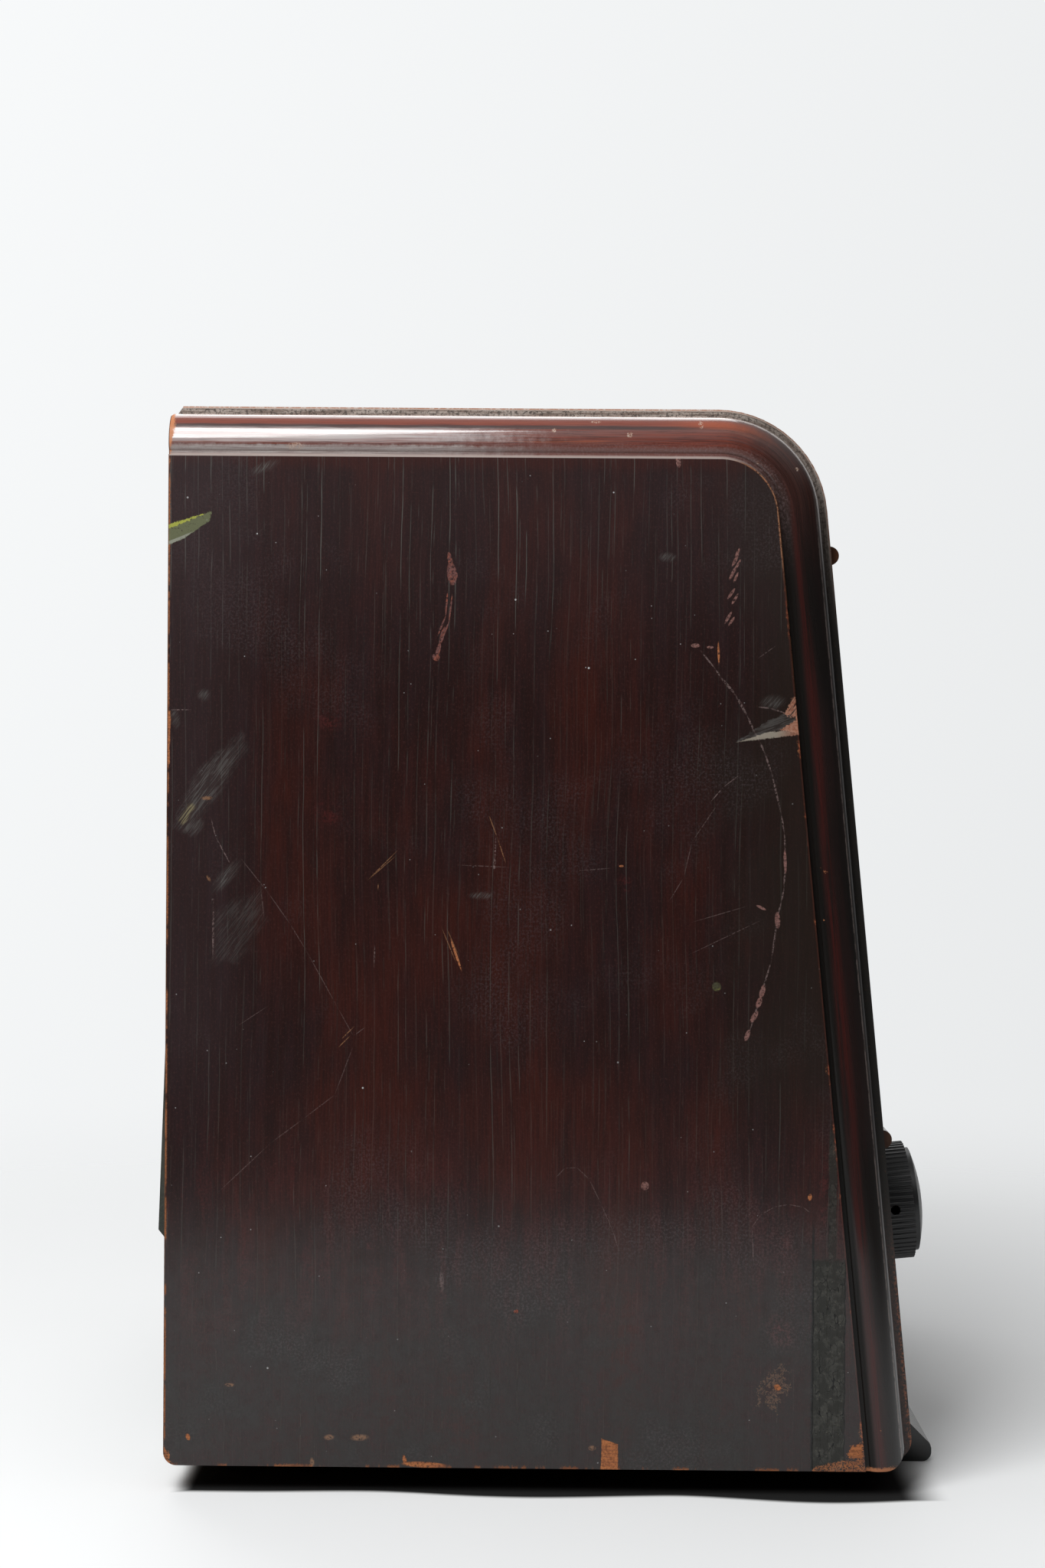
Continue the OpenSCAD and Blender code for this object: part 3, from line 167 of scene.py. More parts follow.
class Graph:
    """The nodes of one material or of the world."""

    def __init__(self, tree):
        self.tree = tree
        tree.nodes.clear()

    def node(self, kind, settings=None, values=None):
        """Adds a shader node. Settings are set first, then the values or links of its sockets."""
        made = self.tree.nodes.new("ShaderNode" + kind)
        for key, value in (settings or {}).items():
            setattr(made, key, value)
        for key, value in (values or {}).items():
            socket = made.inputs[key]
            if isinstance(value, Field):
                self.tree.links.new(value.socket, socket)
            else:
                socket.default_value = (*value, 1) if socket.type == "RGBA" else value
        return made

    def field(self, kind, output, settings=None, values=None):
        """One output of a new node."""
        return Field(self, self.node(kind, settings, values).outputs[output])

    def number(self, operation, *values, **settings):
        return self.field("Math", 0, {"operation": operation, **settings},
                          dict(enumerate(values)))

    def vector(self, operation, *values, **named_values):
        """Vector maths. Lengths and dot products come out as numbers."""
        output = "Value" if operation in ("DOT_PRODUCT", "LENGTH") else "Vector"
        return self.field("VectorMath", output, {"operation": operation},
                          {**dict(enumerate(values)), **named_values})

    def point(self, x=0.0, y=0.0, z=0.0):
        return self.field("CombineXYZ", 0, {}, {0: x, 1: y, 2: z})

    def split(self, vector):
        """The three numbers of a vector."""
        parts = self.node("SeparateXYZ", {}, {0: vector}).outputs
        return [Field(self, part) for part in parts]

    def noise(self, where, scale, detail=3.0, rough=0.5, distortion=0.0):
        return self.field("TexNoise", "Fac", {}, {
            "Vector": where, "Scale": scale, "Detail": detail, "Roughness": rough,
            "Distortion": distortion})

    def flat_noise(self, across, along, detail=2.0, rough=0.5):
        """Noise of two numbers, which costs less than noise in space."""
        return self.field("TexNoise", "Fac", {"noise_dimensions": "2D"}, {
            "Vector": self.point(across, along), "Scale": 1.0, "Detail": detail,
            "Roughness": rough})

    def chance(self, number):
        """A number from 0 to 1 drawn for each whole number."""
        return self.field("TexWhiteNoise", "Value", {"noise_dimensions": "1D"},
                          {"W": number})

    def mix(self, factor, first, second):
        """First colour where the factor is 0, second where it is 1."""
        return self.field("Mix", 2, {"data_type": "RGBA"},
                          {0: factor, 6: first, 7: second})

    def layered(self, colour, *layers):
        """The colour under layers in their order, each of them a factor and a shade."""
        for factor, shade in layers:
            colour = self.mix(factor, colour, shade)
        return colour

    def mix_shaders(self, factor, first, second):
        return self.field("MixShader", 0, {}, {0: factor, 1: first, 2: second})

    def bump(self, height, strength, depth):
        return self.field("Bump", "Normal", {}, {
            "Height": height, "Strength": strength, "Distance": depth * MM})


class Finish(Graph):
    """One material. Its fields are worked out in millimetres in the set's own frame."""

    def __init__(self, name):
        self.material = bpy.data.materials.new(name)
        self.material.use_nodes = True
        super().__init__(self.material.node_tree)
        self.place = self.vector("SCALE", self.field("TexCoord", "Object"), Scale=1 / MM)
        self.x, self.y, self.z = self.split(self.place)

    @cached_property
    def forward(self):
        """Distance forward from the cabinet's rear edge."""
        return BASE_Y - self.y

    @cached_property
    def height(self):
        """Height above the cabinet's underside."""
        return self.z - FOOT_H

    @cached_property
    def side_view(self):
        """Place as forward and up, whatever its distance across."""
        return self.point(self.forward, self.height)

    @cached_property
    def out(self):
        """Distance out from the line that runs BEND_R inside top and front, 0 within that line."""
        bend = (BEND_V, BEND_Z)
        down = (BEND_V + CABINET_H * math.sin(LEAN), BEND_Z - CABINET_H * math.cos(LEAN))
        away = self.from_line((-BEND_R, BEND_Z), bend).smaller(self.from_line(bend, down))
        above = self.height - BEND_Z
        ahead = (self.forward - BEND_V) * math.cos(LEAN) + above * math.sin(LEAN)
        return away * above.larger(ahead).math("GREATER_THAN", 0)

    def from_line(self, start, end):
        """Distance in the side view from the straight line between two points."""
        run = (end[0] - start[0], end[1] - start[1], 0)
        length_squared = run[0] ** 2 + run[1] ** 2
        towards = tuple(part / length_squared for part in run)
        off = self.vector("SUBTRACT", self.side_view, (*start, 0))
        share = self.vector("DOT_PRODUCT", off, towards).clamp()
        nearest = self.vector("SCALE", self.point(*run), Scale=share)
        return self.vector("LENGTH", self.vector("SUBTRACT", off, nearest))

    def along_lines(self, marks, edge=0.35):
        """1 on the marks' lines and 0 away from them. Each line tapers at its ends."""
        best = None
        for width, *numbers in marks:
            points = [Vector(pair) for pair in zip(numbers[::2], numbers[1::2])]
            for start, end in zip(points, points[1:]):
                run, middle = end - start, (start + end) / 2
                local = self.field("Mapping", 0, {"vector_type": "TEXTURE"}, {
                    "Vector": self.side_view, "Location": (*middle, 0),
                    "Rotation": (0, 0, math.atan2(run.y, run.x)),
                    "Scale": (run.length * 0.6, width * 0.6, 1)})
                glow = self.field("TexGradient", "Fac",
                                  {"gradient_type": "SPHERICAL"}, {"Vector": local})
                best = glow if best is None else best.larger(glow)
        return best.rise(0.02, edge)

    def patch(self, corners, ragged=0.0, soft=0.2):
        """1 inside a convex outline, whose corners run anticlockwise as forward and up."""
        deepest = None
        for start, end in zip(corners, corners[1:] + corners[:1]):
            run = (Vector(end) - Vector(start)).normalized()
            inward = (-run.y, run.x, 0)
            edge_at = inward[0] * start[0] + inward[1] * start[1]
            off = self.vector("DOT_PRODUCT", self.side_view, inward) - edge_at
            deepest = off if deepest is None else deepest.smaller(off)
        return (deepest + ragged).rise(-soft, soft)

    def surface(self, **values):
        """The finished surface, from sockets named with underscores for spaces."""
        self.show(self.field("BsdfPrincipled", 0, {}, {
            key.replace("_", " "): value for key, value in values.items()}))

    def show(self, shader):
        self.node("OutputMaterial", {}, {"Surface": shader})

    def put_on(self, *names):
        for name in names:
            mesh = nodes[name].data
            mesh.materials.clear()
            mesh.materials.append(self.material)


def grey(level):
    return (level, level, level)


# Marks on the left side: a width, then each point's distance forward from the rear edge and its
# height above the underside
PALE_SCRATCHES = [
    (0.7, 199.7, 308, 205.5, 300.9, 207.2, 298.3), (1.1, 207.2, 298.3, 213.1, 291.3, 217.4, 283.7),
    (0.8, 217.4, 283.7, 220.3, 277.4, 222.2, 274, 224.1, 269.7, 226.7, 262.6, 230.5, 246.8),
    (0.7, 230.5, 246.8, 231.7, 240, 232.1, 233, 232, 226, 231.8, 219.5, 230.8, 214, 229.4, 208.4,
     227.3, 192, 223.8, 180, 218.7, 163.4), (0.6, 123.6, 237.6, 123.3, 229),
    (1, 123.3, 230, 123.1, 224.8), (0.45, 215.7, 262.2, 208.8, 256.9, 203.9, 251.2),
    (0.5, 16.8, 243.5, 18.5, 236.8, 24.2, 226.3), (0.55, 78.5, 196.4, 78.3, 188.2),
    (0.55, 0.8, 284.3, 9.1, 284.4), (0.8, 17.8, 213, 17.7, 190.9),
    (0.6, 221.5, 287, 226, 286.5, 231.3, 284.9), (1.3, 17.6, 213.6, 17.6, 213),
]
FAINT_SCRATCHES = [
    (0.4, 28.1, 228.6, 38.1, 216.3, 46.7, 204.2, 52.5, 194.8, 65, 172.5, 70.7, 162.4, 75.2, 165.8),
    (0.4, 153.8, 225, 167.2, 226.2), (0.4, 207.1, 251.1, 197.2, 236.4, 194.1, 222.7, 188.8, 214),
    (0.36, 197, 206, 219, 212.6), (0.36, 195.2, 193.4, 224, 207.4),
    (0.45, 109.2, 226.9, 129.3, 226.2), (0.4, 70.8, 159, 63.8, 140.2, 52, 131, 40, 122, 20, 103),
    (0.4, 147.2, 109.9, 150.4, 113.3, 155, 113.6, 159.6, 109.3, 164.1, 100.1, 168.7, 89.8,
     171.3, 81.2),
    (0.4, 220.9, 91.8, 224.1, 96.4, 229.3, 99.5, 234.4, 100.4, 239.9, 99.5, 242.5, 97.5),
    (0.4, 220.9, 91.8, 221.6, 78), (0.36, 27.1, 165.8, 38.5, 173.4),
    (0.4, 221.2, 305.1, 227.9, 309.9), (0.4, 35.6, 217.2, 36.9, 206.3), (1.8, 104.2, 74, 104.8, 66),
]
FLAKES = [
    (1.6, 105.2, 344, 106.2, 338.5), (3.4, 106, 340, 106.9, 332), (2.2, 107.4, 337, 107.6, 334),
    (0.6, 104.9, 329, 104.2, 320, 101.4, 313), (0.6, 106.6, 328, 105.5, 318, 103.2, 312),
    (1.5, 104, 316, 102.2, 310, 100.9, 305), (2.8, 101.2, 305.8, 100.2, 303.6),
    (1, 212.4, 342.6, 214, 346.2), (1.1, 211.4, 339.6, 213.6, 344), (0.9, 212.4, 338.2, 214.4, 342),
    (1.1, 210.4, 334.6, 212.8, 339.4), (0.9, 212, 333.6, 213.6, 337.2),
    (1, 209.8, 327.4, 212.4, 331.2), (0.9, 211.4, 325.4, 213.6, 329.2),
    (1, 208.8, 318.2, 211.2, 322.4), (0.9, 210.2, 317.4, 212.4, 320.6),
    (1.8, 190.6, 380.5, 191.2, 376.4), (1.9, 229.3, 210, 229.6, 204.3), (1, 221.6, 212.6, 225, 211),
    (1.9, 224.6, 182.7, 223.4, 178, 222.1, 174.3), (1.8, 222.2, 172.8, 219.8, 168.8),
    (1.7, 219.2, 165.8, 217.8, 161.9), (1.1, 231.9, 233.3, 232.3, 225),
    (1.5, 196.2, 309.8, 199.4, 309.8), (1, 202.2, 309.2, 204.6, 309.2),
    (3, 179.2, 107.3, 182, 106.6), (1.5, 131.6, 59, 133.4, 59.4),
]
BARE_SCRATCHES = [
    (0.8, 206.4, 311, 206.7, 303), (0.9, 107.1, 198.7, 111, 187.6),
    (1.7, 170.8, 227.4, 170.8, 226.6), (2.2, 229.8, 32.2, 232.2, 30.8),
    (1.5, 242.6, 104.4, 242.4, 102), (1.6, 8.9, 12, 9.8, 9.6), (2.2, 90.5, 1.4, 106.5, 0.8),
    (1.4, 90.6, 4.6, 91.4, 1),
]
TAN_SCRATCHES = [
    (0.36, 103.5, 203.5, 109.2, 190), (0.36, 105.5, 203, 110, 193), (0.4, 87, 232.4, 75.8, 221.1),
    (0.4, 86, 230, 75.8, 221.1), (0.45, 79.6, 219.7, 79.6, 217.2),
    (0.45, 120.8, 246.2, 124.3, 237, 127.5, 227.6), (0.45, 66, 161, 71, 166),
    (0.45, 65, 158, 69.5, 162.5), (1.7, 12.8, 251.2, 17.2, 251.4), (1.2, 15.2, 222.4, 16.6, 220),
    (2.2, 60.5, 11, 64.5, 11.3), (2.6, 70.5, 11, 77.5, 11.3), (1.4, 23, 30.6, 27, 30.5),
    (1.8, 56, 3.4, 56.4, 0), (2, 160, 8, 163, 8),
]
MOULDING_CHIPS = [
    (3, 44, 383.2, 51, 383.5), (2.4, 172, 389.4, 173.4, 387.6), (1.9, 199.3, 394.4, 199.5, 391),
    (2, 144, 390.8, 144.8, 389.2), (1.2, 158, 393.6, 162, 393.6), (1.5, 235.4, 377, 235.6, 375.4),
    (1.3, 220.6, 378.8, 220.8, 377.8),
]
GREY_SCUFFS = [
    (6, 13.3, 244.4, 8.4, 236.7), (5.5, 28.1, 228.2, 17.1, 215.7), (4, 2.5, 285, 3.5, 277),
    (3, 113.3, 215.4, 123.3, 215.5), (4, 183.7, 342.7, 190.9, 342.7), (5, 10.9, 290, 16.6, 290),
    (4, 30, 373, 42, 378), (6, 222, 288, 232, 289.5),
]
RED_PATCHES = [
    (3.5, 77.2, 85.5, 77.2, 81.5), (12, 60, 276, 62, 286), (12, 60, 252, 61, 240),
    (5, 247.4, 127, 247.6, 82), (12, 228, 92, 236, 78), (6, 171, 224, 173, 217),
    (12, 228, 60, 236, 45),
]

# Outlines of the larger marks on the left side, forward and up, anticlockwise
SMEAR = [(2.8, 241.5), (7.8, 238.6), (18.5, 252), (30, 271), (28, 275), (12, 262)]
SCUFFED_FIELD = [(17.8, 189.5), (27.4, 190.5), (36.9, 206), (35.6, 217), (18.4, 209)]
SCUFFED_FAN = [(214.6, 274.4), (237, 278), (237, 287), (223.5, 281)]
REAR_NICK = [(-1, 262), (1.0, 264), (1.4, 284), (-1, 285)]
REAR_CORNER = [(-1, -1), (6.5, -1), (4.5, 3.0), (2.0, 5.0), (1.4, 12), (-1, 13)]
LOW_CHIP = [(164.6, -1), (171.6, -1), (171.2, 9.5), (165.0, 11.6)]
FRONT_CHIP = [(257.4, 5.5), (263.4, 4.6), (263.0, 10.8), (258.6, 9.4)]
FRONT_LOW_EDGE = [(244, -1), (264, -1), (263.4, 4.4), (256, 4.0), (245, 1.4)]
BROWN_SPOT = [(222, 24), (232, 22), (238, 32), (234, 42), (225, 38)]
TORN_BLOCK = [(231.2, 284.2), (237.2, 282.6), (237.0, 290.6), (234.4, 290.6)]
TORN_TIP = [(229.6, 278.4), (237.4, 277.2), (237.4, 283.2)]
TORN_WEDGE = [(214.0, 273.8), (237.2, 276.6), (237.2, 278.8), (225.0, 277.6)]
PAINT_LEAF = [(-1, 345.6), (6, 348.6), (15.6, 355.4), (16.4, 358.8), (-1, 353.5)]
PAINT_RIM = [(-1, 350.5), (4, 351.4), (12.5, 357.2), (16.4, 358.8), (-1, 353.5)]
THIN_PAINT = [(-1, 345.6), (6, 348.6), (9.5, 351.2), (3, 348.6), (-1, 347)]
PAINT_DROP = (206.8, 182.1), (206.9, 181.9)
YELLOWED_LINE = (6.2, 242.8), (9.2, 247.8)

# The veneer's stain and lacquer
WARM_BLACK = (0.0165, 0.0062, 0.0055)
PLUM_BLACK = (0.0185, 0.0082, 0.0084)
DEEP_RED = (0.0365, 0.0082, 0.0054)
SOOT = (0.0062, 0.0042, 0.0040)
SPECKLE_RED = (0.050, 0.019, 0.017)
PORE_GREY = (0.100, 0.104, 0.092)
END_DARK = (0.050, 0.024, 0.015)
END_BROWN = (0.190, 0.085, 0.042)

# The left side's stains and marks, with a painted sheen and a painted highlight
OLIVE_BLACK = (0.0150, 0.0115, 0.0085)
GRIME_BROWN = (0.0110, 0.0072, 0.0062)
GRIME_GREY = (0.0095, 0.0100, 0.0090)
STAIN_RED = (0.080, 0.014, 0.013)
BLOOM_AND_SHEEN_MAUVE = (0.080, 0.062, 0.066)
FILLER_GREEN = (0.020, 0.0205, 0.0175)
FILLER_PALE = (0.034, 0.034, 0.029)
FILLER_FLECK = (0.095, 0.086, 0.066)
SCUFF_GREY = (0.100, 0.096, 0.090)
SMEAR_YELLOW = (0.24, 0.20, 0.095)
SCRATCH_PINK = (0.190, 0.135, 0.128)
SCRATCH_TAN = (0.30, 0.15, 0.075)
FLAKE_PINK = (0.165, 0.075, 0.068)
FLAKE_RED = (0.230, 0.070, 0.045)
FLAKE_PALE = (0.225, 0.125, 0.110)
FLAKE_DARK = (0.06, 0.025, 0.022)
SPOT_BROWN = (0.17, 0.085, 0.045)
WORN_RED = (0.115, 0.028, 0.016)
BARE_ORANGE = (0.42, 0.155, 0.060)
BARE_RUST = (0.30, 0.11, 0.05)
BARE_DARK = (0.12, 0.045, 0.022)
TORN_BROWN = (0.27, 0.105, 0.062)
TORN_PINK = (0.34, 0.17, 0.115)
TORN_PALE = (0.34, 0.30, 0.24)
ARRIS_PAINTED_HIGHLIGHT = (0.50, 0.42, 0.39)
BEND_TAN = (0.33, 0.16, 0.085)
PAINT_GREEN = (0.120, 0.130, 0.070)
PAINT_YELLOW = (0.36, 0.38, 0.06)
PAINT_GREY = (0.30, 0.31, 0.26)

# The moulding down the front, along the top and where it is worn, with its painted highlights,
# painted glow and painted recess shade
ROLL_BLACK = (0.0085, 0.0062, 0.0055)
ROLL_BROWN_BLACK = (0.016, 0.0085, 0.0078)
ROLL_DARK_RED = (0.050, 0.0080, 0.0065)
ROLL_PAINTED_RECESS_SHADE = (0.0040, 0.0042, 0.0036)
TOP_RED = (0.160, 0.036, 0.022)
TOP_PLUM = (0.130, 0.058, 0.052)
TOP_ORANGE = (0.280, 0.070, 0.032)
TOP_SOOT = (0.035, 0.019, 0.018)
TOP_RED_LINE = (0.200, 0.034, 0.013)
TOP_EMBER = (0.33, 0.065, 0.020)
TOP_SOOT_LINE = (0.030, 0.022, 0.022)
TOP_ROSE = (0.185, 0.080, 0.068)
TOP_PAINTED_GLOW = (0.46, 0.42, 0.40)
TOP_GREY_BROWN = (0.15, 0.095, 0.09)
TOP_HIGHLIGHT_AND_DUST = (0.62, 0.59, 0.58)
TOP_MOTTLE = (0.24, 0.17, 0.17)
CORNER_BLACK = (0.014, 0.0085, 0.0075)
CORNER_BROWN = (0.034, 0.015, 0.012)
LINE_WEAR_AND_HIGHLIGHT = (0.44, 0.36, 0.33)
CHIP_TAN = (0.42, 0.20, 0.10)
CHIP_PALE = (0.50, 0.40, 0.34)
KNOCK_ORANGE = (0.50, 0.20, 0.09)

# The bent panel's ply edge, pale along the top and black down the front
PLY_PALE = (0.40, 0.35, 0.31)
PLY_TAN = (0.20, 0.155, 0.13)
PLY_DARK = (0.045, 0.038, 0.034)
PLY_RIM = (0.66, 0.54, 0.47)
PLY_RED_TAN = (0.42, 0.17, 0.09)
PLY_BROWN = (0.050, 0.036, 0.030)
PLY_BLACK = (0.021, 0.019, 0.017)
PLY_FLECK = (0.16, 0.075, 0.038)
PLY_LOW_WEAR = (0.075, 0.034, 0.026)
PLY_LOW_ORANGE = (0.30, 0.10, 0.045)


# Woods
def hairlines(finish, across, along, spacing, width, share):
    """Thin lines along the grain, one to each lane of the spacing, in dashes of all strengths."""
    lane = (across / spacing).math("FLOOR")
    middle = (lane + finish.chance(lane) * 0.7 + 0.15) * spacing
    lines = abs(across - middle).rise(width * 0.75, width * 0.25)
    dash = finish.flat_noise(lane * 7.3, along * 0.019, 3.0, 0.75)
    strength = finish.chance(lane + 0.5) ** 2 * 0.8 + 0.2
    return lines * dash.rise(share, share + 0.16) * strength


def end_grain(finish, colour):
    """The colour with the boards' rear ends left in worn bare wood."""
    end = finish.forward.rise(0.40, 0.15)
    stretched = finish.vector("MULTIPLY", finish.place, (0.9, 0.9, 0.10))
    grain = finish.noise(stretched, 1.0, 4.0, 0.65)
    return finish.mix(end * 0.95, colour, finish.mix(grain.rise(0.38, 0.62), END_DARK, END_BROWN))


def dust(finish, spacing, size):
    """Few tiny round specks."""
    from_middle = finish.field("TexVoronoi", "Distance", {},
                               {"Vector": finish.place, "Scale": 1 / spacing})
    chosen = finish.noise(finish.place, 0.11, 1.0).rise(0.52, 0.58)
    return from_middle.rise(size / spacing, size / spacing * 0.5) * chosen


def veneer(finish, across, along, redness=0.0, clear_lines=0.5):
    """Colour, relief and pores of the dark stained veneer. Redness shifts it to black or red."""
    straight = across + finish.flat_noise(across * 0.02, along * 0.007) * 5
    zones = finish.flat_noise(straight * 0.030, along * 0.008, 4.0, 0.65)
    bands = finish.flat_noise(straight * 0.22, along * 0.012, 3.0, 0.6)
    streaks = finish.flat_noise(straight * 1.7, along * 0.05, 3.0, 0.7)
    speckle = finish.flat_noise(straight * 1.3, along * 0.9, 3.0, 0.75)
    wavy = straight + finish.flat_noise(across * 0.5, along * 0.05, 2.0, 0.6) * 0.5
    pores = hairlines(finish, wavy, along, 3.3, 0.30, 0.43).larger(
        hairlines(finish, wavy + 1871, along * 1.9 + 33, 1.9, 0.24, 0.50) * 0.6)
    colour = finish.layered(
        finish.mix(bands.rise(0.35, 0.65), WARM_BLACK, PLUM_BLACK),
        ((zones * 1.15 + bands * 0.28 + speckle * 0.12 + redness).rise(0.60, 1.12), DEEP_RED),
        (streaks.rise(0.60, 0.38) * 0.38, SOOT),
        (speckle.rise(0.52, 0.78) * 0.6, SPECKLE_RED),
        (pores * clear_lines, PORE_GREY),
        (dust(finish, 11, 0.5) * 0.8 + dust(finish, 5.3, 0.28) * 0.5, grey(0.5)))
    return colour, streaks * 0.35 + speckle * 0.4, pores


def lacquered(finish, colour, relief, roughness, whole):
    """The old lacquer: glossy where whole, dull where worn through."""
    finish.surface(
        Base_Color=colour, Roughness=roughness, Specular_IOR_Level=0.10,
        Coat_Weight=whole, Coat_Roughness=0.17,
        Normal=finish.bump(relief, 0.30, 0.04))


# The marked left side, in layers. Each layer gives the new colour and the mask of what it added
class SideFinish(Finish):
    """The left side's finish, with the noises that its layers share."""

    def __init__(self, name):
        super().__init__(name)
        forward, height = self.forward, self.height
        self.blotch = self.flat_noise(forward * 0.018, height * 0.018, 3.0, 0.6)
        self.crumble = self.flat_noise(forward * 1.1, height * 1.1, 3.0, 0.75)
        self.ragged = self.flat_noise(forward * 0.22, height * 0.22, 4.0, 0.75)
        self.hatch = self.flat_noise((forward * 0.6 + height * 0.8) * 0.10,
                                     (forward * 0.8 - height * 0.6) * 1.9, 2.0, 0.7)
        self.fanned = self.flat_noise((forward * 0.93 + height * 0.36) * 0.12,
                                      (height * 0.93 - forward * 0.36) * 1.6, 2.0, 0.7)


def stained_veneer(side):
    """The veneer with its stains and a painted sheen towards the top. Returns its colour, its
    relief and its pores.
    """
    forward, height = side.forward, side.height
    blotch, crumble, ragged = side.blotch, side.crumble, side.ragged
    # Redder in a low band and under the top, blacker in the rear corner
    low_band = abs(height - 125).rise(32, 10) * abs(forward - 120).rise(125, 40)
    top_band = height.rise(373, 379)
    rear_shade = forward.rise(50, 5)
    redness = (low_band * 0.20 + top_band * 0.3 - rear_shade * 0.2 - height.rise(100, 60) * 0.10
               - forward.rise(185, 240) * 0.12 + blotch * 0.12 - 0.05)
    clear_lines = 0.34 + height.rise(300, 365) * 0.42
    colour, relief, pores = veneer(side, forward, height, redness, clear_lines)
    # Olive beside the moulding, grime and red stains low down, pale blooming of the lacquer in
    # blotches and along the rear edge, and painted sheen in the same pale towards the top
    olive = (forward + blotch * 60).rise(228, 262) * height.rise(110, 160)
    grime = height.rise(100, 30) * ragged.rise(0.42, 0.56)
    runs = side.flat_noise(forward * 0.16, height * 0.030, 4.0, 0.75).rise(0.44, 0.66)
    stains = height.rise(150, 90) * height.rise(25, 80) * runs * crumble.rise(0.30, 0.64)
    red = side.along_lines(RED_PATCHES, 0.8) * ragged.rise(0.40, 0.60) * crumble.rise(0.36, 0.58)
    # The pale rising towards the top is painted sheen
    bloom_and_sheen = blotch.rise(0.48, 0.72) * crumble.rise(0.45, 0.7) + height.rise(280, 375) * 0.42
    bloom_and_sheen = bloom_and_sheen + forward.rise(45, 8) * height.rise(120, 170) * 0.40
    colour = side.layered(
        colour,
        (olive * 0.6, OLIVE_BLACK),
        (grime * 0.62, GRIME_BROWN),
        (blotch.rise(0.40, 0.58) * height.rise(110, 40) * 0.55, GRIME_GREY),
        ((red * 0.5).larger(stains * 0.28), STAIN_RED),
        (bloom_and_sheen.clamp() * 0.32, BLOOM_AND_SHEEN_MAUVE))
    return colour, relief, pores


def old_filler(side, colour):
    """Cracked filler beside the moulding, with a dark joint on both sides."""
    forward, height, crumble, ragged = side.forward, side.height, side.crumble, side.ragged
    sway = (side.flat_noise(height * 0.15, 5.0) - 0.5) * 1.6
    strip = (forward + sway * 0.5).rise(243.6, 244.2) * (forward + sway).rise(256.4, 255.8)
    strip = strip * (height + ragged * 6).rise(84, 81)
    narrow = (forward + sway).rise(249.2, 249.9) * (forward + sway * 0.6).rise(253.0, 252.2)
    narrow = narrow * (height + ragged * 16).rise(142, 130)
    filler = strip.larger(narrow * 0.8)
    flecks = filler * crumble.rise(0.60, 0.68) * ragged.rise(0.46, 0.56)
    cracks = side.flat_noise(forward * 0.30, height * 0.13 + crumble * 0.15, 1.5)
    cracks = abs(cracks - 0.5).rise(0.018, 0.006) * filler * ragged.rise(0.43, 0.50)
    rear_joint = abs(forward + sway * 0.5 - 243.9).rise(0.65, 0.30) * height.rise(100, 84)
    front_joint = abs(forward + sway - 256.1).rise(0.35, 0.1) * height.rise(84, 78)
    colour = side.layered(
        colour,
        (filler * 0.92, side.mix(ragged.rise(0.45, 0.6), FILLER_GREEN, FILLER_PALE)),
        (flecks * 0.55, FILLER_FLECK),
        (cracks.larger(rear_joint.larger(front_joint) * 0.9) * 0.95, grey(0.002)))
    return colour, filler


def scuffs_and_scratches(side, colour):
    """Grey scuffs of fine parallel lines, a yellowed one, and pale and faint scratches."""
    forward, crumble, ragged, hatch = side.forward, side.crumble, side.ragged, side.hatch
    smear = side.patch(SMEAR, (ragged - 0.55) * 5, 2.2) * (0.85 - forward.rise(14, 34) * 0.4)
    field = side.patch(SCUFFED_FIELD, (ragged - 0.55) * 5, 2.5) * 0.36
    fan = side.patch(SCUFFED_FAN, (ragged - 0.5) * 3) * (0.7 + forward.rise(226, 214) * 0.3)
    scuffs = side.along_lines(GREY_SCUFFS, 0.9).larger(smear).larger(field)
    scuffs = scuffs * (hatch.rise(0.46, 0.62) * 0.8 + 0.2)
    scuffs = scuffs.larger(fan * (side.fanned.rise(0.38, 0.6) * 0.8 + 0.2))
    yellowed = side.from_line(*YELLOWED_LINE).rise(2.2, 0.4) * hatch.rise(0.4, 0.6)
    pale = side.along_lines(PALE_SCRATCHES, 0.6) * crumble.rise(0.40, 0.56)
    faint = side.along_lines(FAINT_SCRATCHES, 0.6) * crumble.rise(0.36, 0.54)
    colour = side.layered(
        colour,
        (scuffs * 0.66, SCUFF_GREY),
        (yellowed * 0.5, SMEAR_YELLOW),
        (pale * 0.62, SCRATCH_PINK),
        (faint * 0.32, SCRATCH_PINK))
    return colour, scuffs


def flaked_lacquer(side, colour):
    """Flakes knocked out of the lacquer, paler towards the front."""
    flakes = side.along_lines(FLAKES, 0.25) * side.crumble.rise(0.36, 0.44)
    shade = side.layered(
        side.mix(side.hatch.rise(0.45, 0.6), FLAKE_PINK, FLAKE_RED),
        (side.forward.rise(150, 190) * 0.75, FLAKE_PALE),
        (side.crumble.rise(0.62, 0.50) * 0.5, FLAKE_DARK))
    return side.mix(flakes * 0.92, colour, shade), flakes


